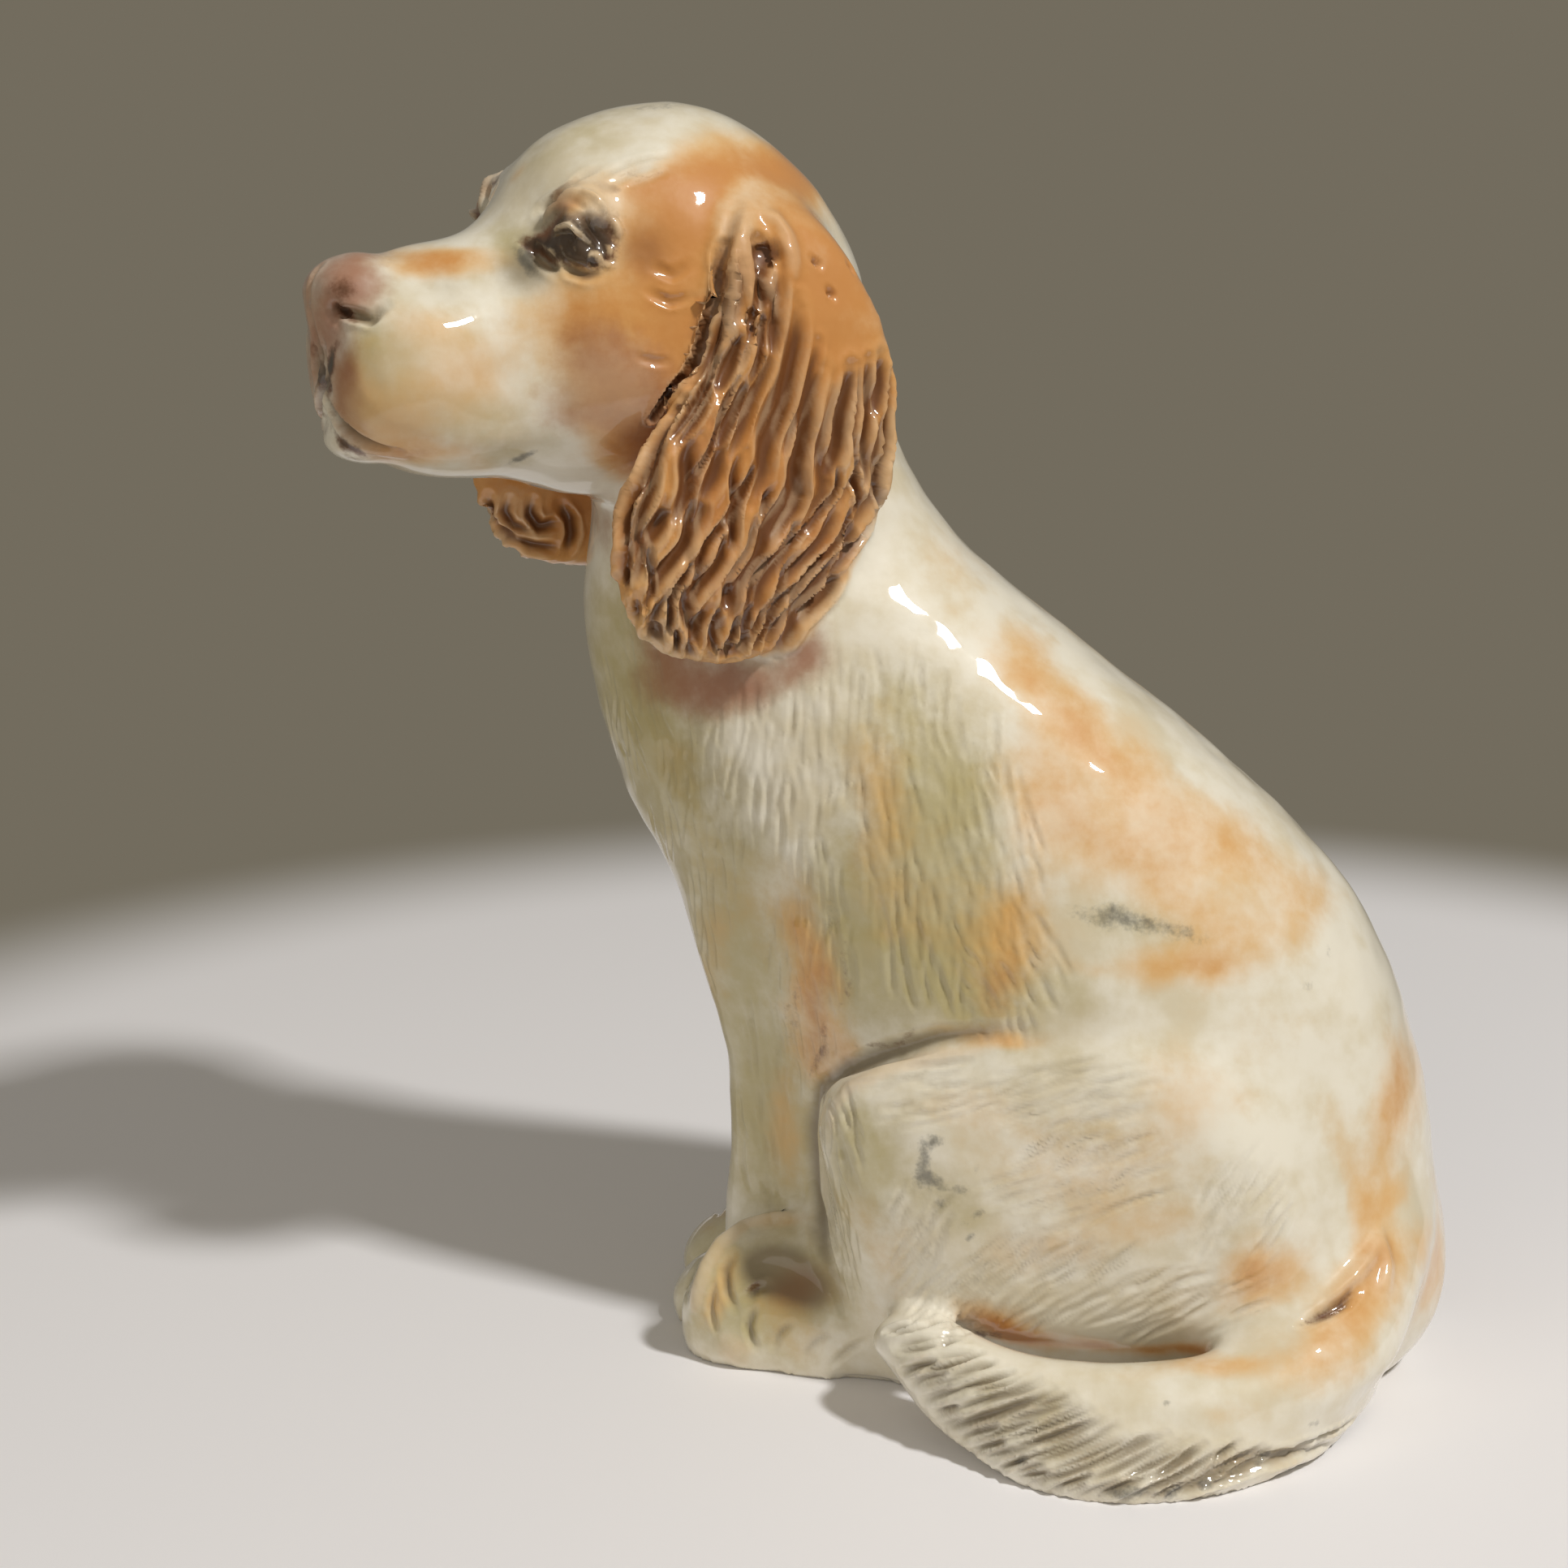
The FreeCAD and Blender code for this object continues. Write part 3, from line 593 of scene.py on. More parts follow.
EYE_ROLLS = (
    # spots of the picture, width, height
    ([(670, 276), (682, 256), (696, 240), (712, 230)], 0.7, 0.9),
    ([(714, 234), (730, 242), (742, 256), (748, 268)], 0.6, 1.0),
    ([(752, 268), (760, 282), (764, 296)], 0.5, 0.8),
    ([(684, 286), (692, 280), (704, 277), (712, 287), (722, 297), (732, 304)], 0.34, 1.3),
    ([(736, 312), (741, 324), (754, 328)], 0.4, 1.0),
    ([(676, 305), (688, 313)], 0.36, 0.8),
    ([(654, 311), (666, 323), (678, 335)], 0.42, 0.9),
    ([(722, 318), (730, 312), (738, 316)], 0.36, 0.7),
    ([(748, 300), (752, 308), (750, 318)], 0.4, 0.7),
)
EYE_CUTS = (
    ([(652, 302), (668, 318), (688, 334)], 0.8, 1.4),
    ([(712, 262), (724, 272), (736, 290), (746, 306)], 0.9, 1.3),
    ([(742, 334), (722, 338), (704, 332), (690, 322)], 0.8, 1.1),
    ([(690, 292), (700, 288), (706, 296), (700, 306)], 0.6, 0.8),
    ([(664, 262), (678, 248), (692, 240)], 0.7, 0.9),
    ([(730, 268), (744, 284), (752, 296)], 0.8, 0.9),
    ([(712, 285), (724, 300), (738, 312)], 0.7, 0.8),
    ([(690, 285), (700, 300), (706, 316)], 0.5, 0.5),
    ([(722, 325), (738, 326), (750, 318)], 0.6, 0.6),
    ([(700, 246), (716, 252), (728, 262)], 0.5, 0.5),
    ([(640, 296), (650, 306), (656, 318)], 0.5, 0.5),
)
BROW_CUTS = (
    ([(742, 214), (770, 202), (800, 194), (826, 190)], 0.5, 0.35),
    ([(748, 228), (776, 214), (808, 206)], 0.5, 0.35),
    ([(770, 232), (796, 222), (822, 212)], 0.4, 0.3),
    ([(700, 226), (718, 214), (736, 206)], 0.5, 0.4),
    ([(800, 360), (826, 372), (850, 366)], 0.6, 0.5),
    ([(806, 330), (830, 340), (848, 326)], 0.7, 0.4),
    ([(786, 440), (806, 446), (824, 446)], 0.5, 0.4),
)
work.both(work.roll, EYE_ROLLS, other_side)
work.both(work.stick, EYE_CUTS + BROW_CUTS, other_side)
work.press()

# %% [markdown]
# The mouth is one scratched line: down from the nose, then back under the lip. A dark slit
# lies on each side of it, and each nostril ends in a comma.

# %% Mouth and nose
MOUTH_CUTS = (
    # rows of forward, left, up, then width and depth
    ([(58.0, 0, 137.0), (59.0, 0, 133.0), (58.8, 0.3, 129.5), (58.0, 1.4, 127.0),
      (56.0, 3.6, 124.8), (53.0, 6.0, 123.4), (50.5, 7.4, 122.6)], 0.8, 1.5),
    ([(58.2, 1.6, 133.6), (58.2, 1.9, 130.8), (57.6, 2.6, 128.6)], 0.75, 1.1),
    ([(55.6, 3.6, 139.2), (54.6, 5.6, 137.4), (52.8, 7.2, 136.0), (51.6, 7.4, 137.4)], 0.7, 1.1),
    ([(57.6, 0, 143.4), (58.8, 0, 141.0), (58.8, 0, 138.6)], 0.6, 0.5),
)
for rows, width, depth in MOUTH_CUTS:
    path = np.array([out_of_head(row) for row in rows])
    fine = np.array([path[:-1] + (path[1:] - path[:-1]) * t for t in (0, 0.25, 0.5, 0.75)])
    fine = np.vstack([fine.transpose(1, 0, 2).reshape(-1, 3), path[-1:]])
    path = work.snapped(fine)
    for one in (path, other_side(path)):
        work.stick(one, width, depth, burr=0.35)
work.press()

# %% [markdown]
# ## The ears
# An ear is a thick leaf. Its hair is cut in long wavy strokes that start under the smooth
# root, follow the leaf's edges and curl at the hem. Each stroke starts at a place across and
# down the ear, both from 0 to 1, and a ray from the side finds the clay there.

# %% Ears
EAR_COLUMNS = 16
EAR_SIGHT = 70
EAR_DEPTH = 10
EAR_HEM = 0.97
EAR_LENGTHS = (0.12, 0.42)
EAR_WIDTHS = (0.45, 0.6, 0.8, 1.05)
EAR_CUTS = (1.0, 2.1)
# Waves of a stroke: height at the root, growth to the hem, turns and shift.
EAR_WAVES = ((0.006, 0.016, 15, 2), (0.004, 0.012, 41, 9))
LOOSE_FROM, LOOSE_TO = 0.35, 0.75
CURL, CURL_FROM, CURL_RUN = 0.14, 0.66, 0.34


def ear_edges(name):
    """Heights down an ear, with the places of its back, front and outer faces there."""
    ear = in_head(points_of(frame["nodes"][name].data) / MM)
    levels = np.linspace(ear[:, 2].max() - 1, ear[:, 2].min() + 1, 24)
    backs, fronts, outers = [], [], []
    for level in levels:
        band = ear[np.abs(ear[:, 2] - level) < 2.5]
        backs.append(band[:, 0].min())
        fronts.append(band[:, 0].max())
        outers.append(np.abs(band[:, 1]).max())
    return levels, np.array(backs), np.array(fronts), np.array(outers)


def on_ear(side, edges_there, over, down):
    """The clay of an ear at a share of the way from back to front and from root to hem."""
    t = np.linspace(0, 1, len(edges_there[0]))
    level, back, front, outer = (np.interp(down, t, row) for row in edges_there)
    start = out_of_head((back + (front - back) * over, side * EAR_SIGHT, level))
    place = work.tree.ray_cast(start, -leftward * side)[0]
    if place is None or in_head(place)[1] * side < outer - EAR_DEPTH:
        return None
    return place


def ear_stroke(side, edges_there, over, top, bottom, sway):
    """One wavy stroke down an ear."""
    path = []
    for t in np.linspace(0, 1, 14):
        down = top + (bottom - top) * t
        loose = ease(down, LOOSE_FROM, LOOSE_TO)
        wave = 0
        for least, growth, turns, shift in EAR_WAVES:
            wave += (least + growth * loose) * math.sin(turns * down + shift * sway)
        curl = CURL * max(0, down - CURL_FROM) / CURL_RUN
        place = on_ear(side, edges_there, min(max(over + wave + curl, 0.02), 0.98), down)
        if place is not None:
            path.append(place)
    return np.array(path)


for name, side in (("left_ear", 1), ("right_ear", -1)):
    there = ear_edges(name)
    for column in range(EAR_COLUMNS):
        over = (column + 0.5) / EAR_COLUMNS
        down = 0.10 + 0.26 * ease(over, 0.75, 0.35) + random.uniform(0, 0.05)
        while down < EAR_HEM:
            length = random.uniform(*EAR_LENGTHS) * (1 if down < 0.55 else 0.55)
            place = over + random.uniform(-0.028, 0.028)
            sway = random.uniform(-1.2, 1.2) + over * 2
            path = ear_stroke(side, there, place, down, min(down + length, 1), sway)
            work.stick(path, random.choice(EAR_WIDTHS), random.uniform(*EAR_CUTS), burr=0.5)
            down += length * random.uniform(0.72, 0.95)
work.press()

EAR_MARKS = (
    # spots of the picture, width, depth
    ([(908, 252), (896, 290), (885, 330), (878, 372), (869, 408), (858, 440), (848, 470)], 0.9, 0.9),
    ([(937, 300), (946, 312), (952, 326)], 1.3, 1.9),
    ([(918, 380), (928, 394), (934, 412)], 1.3, 0.9),
    ([(848, 486), (836, 500), (824, 518)], 0.8, 0.8),
    ([(1000, 318), (1006, 322), (1010, 328)], 0.5, 0.8),
    ([(1020, 356), (1025, 361), (1028, 366)], 0.5, 0.8),
    ([(1044, 324), (1050, 330), (1052, 336)], 0.4, 0.6),
)
# Curls on the inner face of the far ear, which shows under the jaw.
EAR_CURLS = (
    ([(602, 612), (600, 634), (612, 652), (640, 666)], 0.8, 1.4),
    ([(628, 616), (622, 632), (632, 648), (656, 656)], 0.7, 1.2),
    ([(656, 618), (654, 634), (666, 650), (688, 644)], 0.8, 1.4),
    ([(690, 622), (704, 640), (706, 658), (698, 680)], 0.8, 1.3),
    ([(630, 662), (658, 674), (690, 676)], 0.8, 1.2),
    ([(604, 644), (620, 660), (646, 672)], 0.6, 0.9),
)
for spots, width, depth in EAR_CURLS:
    work.stick(work.drawn(spots), width, depth, burr=0.6)
work.press()

EAR_RIDGES = (
    ([(921, 252), (914, 285), (908, 320), (904, 352), (900, 390), (896, 425)], 1.5, 1.3),
    ([(935, 262), (955, 270), (968, 290), (975, 320), (978, 350)], 1.2, 1.0),
    ([(925, 340), (945, 350), (955, 372), (960, 400)], 1.0, 0.9),
)
work.both(work.roll, EAR_RIDGES, other_side)
work.press()
work.both(work.stick, EAR_MARKS, other_side, burr=0.25)
work.press()

# %% [markdown]
# ## The tail
# The tail's feathering is combed from its smooth core down to the ground. Near the tip the
# strokes lie level, and further back they slant.

# %% Tail
TAIL_STROKES = (
    # where a stroke starts and ends in the picture
    (1160, 1622, 1092, 1640), (1180, 1640, 1100, 1662), (1204, 1660, 1108, 1690),
    (1226, 1676, 1122, 1704), (1250, 1690, 1134, 1724), (1278, 1700, 1150, 1742),
    (1300, 1712, 1162, 1756), (1322, 1722, 1176, 1768), (1340, 1734, 1192, 1782),
    (1352, 1748, 1208, 1796), (1374, 1756, 1222, 1808), (1392, 1766, 1240, 1820),
    (1420, 1764, 1258, 1832), (1440, 1772, 1280, 1844), (1462, 1778, 1306, 1852),
    (1484, 1780, 1330, 1858), (1504, 1784, 1356, 1862), (1528, 1782, 1386, 1860),
    (1548, 1784, 1416, 1852), (1570, 1786, 1446, 1842), (1592, 1782, 1480, 1830),
    (1616, 1778, 1512, 1816), (1640, 1768, 1548, 1802), (1662, 1752, 1582, 1790),
)
# A second stroke lies this far beside each, along this direction of the picture.
TAIL_OFFSETS = (0, 6.5)
TAIL_BESIDE = np.array([0.5, 0.8])
for start_u, start_v, end_u, end_v in TAIL_STROKES:
    for offset in TAIL_OFFSETS:
        start = np.array([start_u, start_v]) + offset * TAIL_BESIDE + random.uniform(-5, 5, 2)
        end = np.array([end_u, end_v]) + offset * TAIL_BESIDE + random.uniform(-3, 3, 2)
        cuts = sorted(random.uniform(0.2, 0.8, 1))
        for low, high in ((0, cuts[0] + 0.05), (cuts[0], 1)):
            bow = random.uniform(-4, 6)
            t = np.linspace(low, high, 7)[:, None]
            spots = start + (end - start) * t + np.array([0, bow]) * np.sin(np.pi * t)
            work.stick(work.drawn(spots), random.uniform(0.42, 0.66), random.uniform(0.6, 1.25), burr=0.45)
work.press()

# %% [markdown]
# The haunch lies over the flank with a crisp edge, and the tail's root is pinched into a small
# fork. Both are cut with the stick and raised with thin rolls.

# %% Haunch edge and tail root
HAUNCH_CUT = (
    [(1262, 1270), (1155, 1279), (1085, 1299), (1040, 1316), (1008, 1342), (1000, 1390),
     (1004, 1470), (1016, 1560), (1046, 1630)], 1.2, 1.1,
)
HAUNCH_ROLL = (
    [(1240, 1292), (1158, 1301), (1090, 1321), (1048, 1343), (1028, 1366), (1024, 1420)], 1.8, 0.8,
)
ROOT_ROLLS = (
    ([(1636, 1606), (1664, 1576), (1688, 1546), (1698, 1520)], 1.1, 1.0),
    ([(1700, 1520), (1708, 1560), (1704, 1596)], 1.0, 0.8),
)
ROOT_CUT = ([(1606, 1632), (1632, 1618), (1656, 1604), (1672, 1588)], 0.8, 0.9)
cut_path, cut_width, cut_depth = HAUNCH_CUT
roll_path, roll_width, roll_height = HAUNCH_ROLL
cut_path, roll_path = work.drawn(cut_path), work.drawn(roll_path)
for turned in ((1, 1, 1), (-1, 1, 1)):
    work.stick(work.snapped(cut_path * turned), cut_width, cut_depth, burr=0.2)
    work.roll(work.snapped(roll_path * turned), roll_width, roll_height)
for spots, width, height in ROOT_ROLLS:
    work.roll(work.drawn(spots), width, height)
work.stick(work.drawn(ROOT_CUT[0]), *ROOT_CUT[1:])
work.press()

# %% [markdown]
# The neck, the chest, the flank, the haunch and the legs are combed with a fine point. A patch
# of combing is an ellipse in the picture with a direction in degrees, 0 to the right and 90
# straight down, and each stroke in it strays a little.

# %% Combed hair
# middle u and v, reaches, direction, strokes, length of a stroke
BODY_HAIR = (
    (790, 840, 45, 110, 78, 34, 60), (930, 950, 110, 90, 95, 70, 60),
    (850, 1060, 55, 160, 82, 60, 70), (1070, 900, 120, 80, 92, 70, 60),
    (1170, 1060, 110, 170, 82, 130, 60), (1000, 1180, 55, 140, 88, 80, 55),
    (945, 1370, 40, 120, 84, 46, 55), (1230, 1190, 80, 80, 70, 50, 45),
)
HAUNCH_HAIR = (
    (1326, 1456, 95, 60, -25, 60, 70), (1310, 1350, 110, 40, -18, 44, 70),
    (1143, 1345, 70, 40, -12, 26, 60), (1122, 1525, 40, 60, -58, 40, 50),
    (1286, 1578, 110, 50, -38, 70, 60), (1449, 1607, 110, 40, -28, 60, 60),
    (1530, 1505, 50, 80, -52, 40, 55), (1041, 1525, 18, 110, 78, 40, 50),
    (1036, 1403, 22, 50, 80, 14, 45), (1180, 1600, 60, 40, -50, 26, 45),
)


COMB_WIDTHS = (0.34, 0.52)
# The far side's strokes are wider and shallower, because its squares are coarse.
FAR_WIDTH, FAR_SHARE = 0.85, 0.7


def comb(rows, shallow, deep):
    """Combs patches of hair, and the same ones on the dog's other side."""
    for u, v, wide, high, direction, count, length in rows:
        for _ in range(count):
            turn, share = random.uniform(0, 2 * math.pi), math.sqrt(random.uniform(0, 1))
            middle = np.array([u + wide * share * math.cos(turn), v + high * share * math.sin(turn)])
            angle = math.radians(direction + random.uniform(-9, 9))
            run = np.array([math.cos(angle), math.sin(angle)]) * length * random.uniform(0.35, 0.7)
            bend = np.array([-run[1], run[0]]) * random.uniform(-0.12, 0.12)
            path = work.drawn([middle - run, middle + bend, middle + run], step=8)
            if len(path) < 2:
                continue
            depth = random.uniform(shallow, deep)
            work.stick(path, random.uniform(*COMB_WIDTHS), depth, burr=0.4)
            work.stick(work.snapped(path * (-1, 1, 1)), FAR_WIDTH, depth * FAR_SHARE, burr=0.25)
    work.press()


comb(BODY_HAIR, 0.14, 0.36)
comb(HAUNCH_HAIR, 0.16, 0.42)

# %% [markdown]
# A hand never leaves clay quite even, so soft lumps a few millimetres wide go over the whole.

# %% Uneven clay
# height, width and seed
LUMPS = ((0.28, 9, 11), (0.10, 3.5, 12))
uneven = sum(height * clouds(work.points, wide, seed) for height, wide, seed in LUMPS)
work.raised += np.maximum(uneven, 0)
work.cut += np.maximum(-uneven, 0)
grooves, ridges = work.groove.copy(), work.ridge.copy()
work.press()
work.groove, work.ridge = grooves, ridges

# %% [markdown]
# ## Paws
# The toes are parted by short deep strokes, and the near hind paw has a thick front edge
# that curls up round a hollow.

# %% Paws
PAW_DABS = (
    # spot of the picture, reach, rise
    ((935, 1560), 3.2, -1.1),
    ((965, 1566), 3.6, -1.5),
    ((1000, 1590), 3.4, -1.1),
    ((905, 1660), 3.0, 0.8),
)
PAW_ROLLS = (
    ([(856, 1622), (862, 1590), (874, 1562), (892, 1536), (918, 1516), (948, 1504), (982, 1498)], 1.5, 1.6),
)
PAW_CUTS = (
    ([(905, 1612), (896, 1590), (894, 1566), (904, 1546)], 0.7, 0.8),
    ([(882, 1640), (876, 1612), (880, 1586)], 0.5, 0.6),
    ([(920, 1600), (934, 1588), (946, 1584)], 0.7, 1.0),
    ([(930, 1660), (922, 1634), (930, 1612)], 0.6, 0.8),
    ([(952, 1662), (960, 1644), (976, 1630)], 0.5, 0.6),
    ([(988, 1672), (1004, 1654), (1026, 1640)], 0.5, 0.5),
    ([(1024, 1682), (1044, 1664), (1066, 1652)], 0.5, 0.5),
    ([(846, 1600), (850, 1574), (862, 1552)], 0.5, 0.5),
)


def far_side(path):
    """A path of the body carried over to the dog's right and laid on the clay."""
    return work.snapped(path * (-1, 1, 1))


for (u, v), reach, rise in PAW_DABS:
    place = work.seen(u, v)
    for spot in (np.array(place), np.array(place) * (-1, 1, 1)):
        work.thumb(spot, reach, rise)
work.press()
work.both(work.roll, PAW_ROLLS, far_side)
work.press()
work.both(work.stick, PAW_CUTS, far_side)
work.press()

# %% [markdown]
# ## Where the slips lie
# The coloured slips were brushed on in soft patches. A patch is an ellipse laid over the
# picture: its middle, its two reaches, its tilt in degrees and its strength. It colours the
# side that the camera sees, and the far side through a mirror, so that no side stays bare.
# Noise bends the ellipses, so that the two sides differ and no edge looks drawn.
# Some patches are painted shade rather than slip: olive on the sides that face away from the key lamp, and
# umber in creases, holes and hollows.

# %% Slips
BODY = ("torso", "left_foreleg", "right_foreleg")
THIGHS = ("left_thigh", "right_thigh", "left_shin", "right_shin")
FACE = ("head", "nose", "chin", "left_eye", "right_eye", "left_eyelids", "right_eyelids")
EARS = ("left_ear", "right_ear")
PAWS = ("left_forepaw", "right_forepaw", "left_hind_paw", "right_hind_paw")
TAIL = ("tail", "tail_fringe")

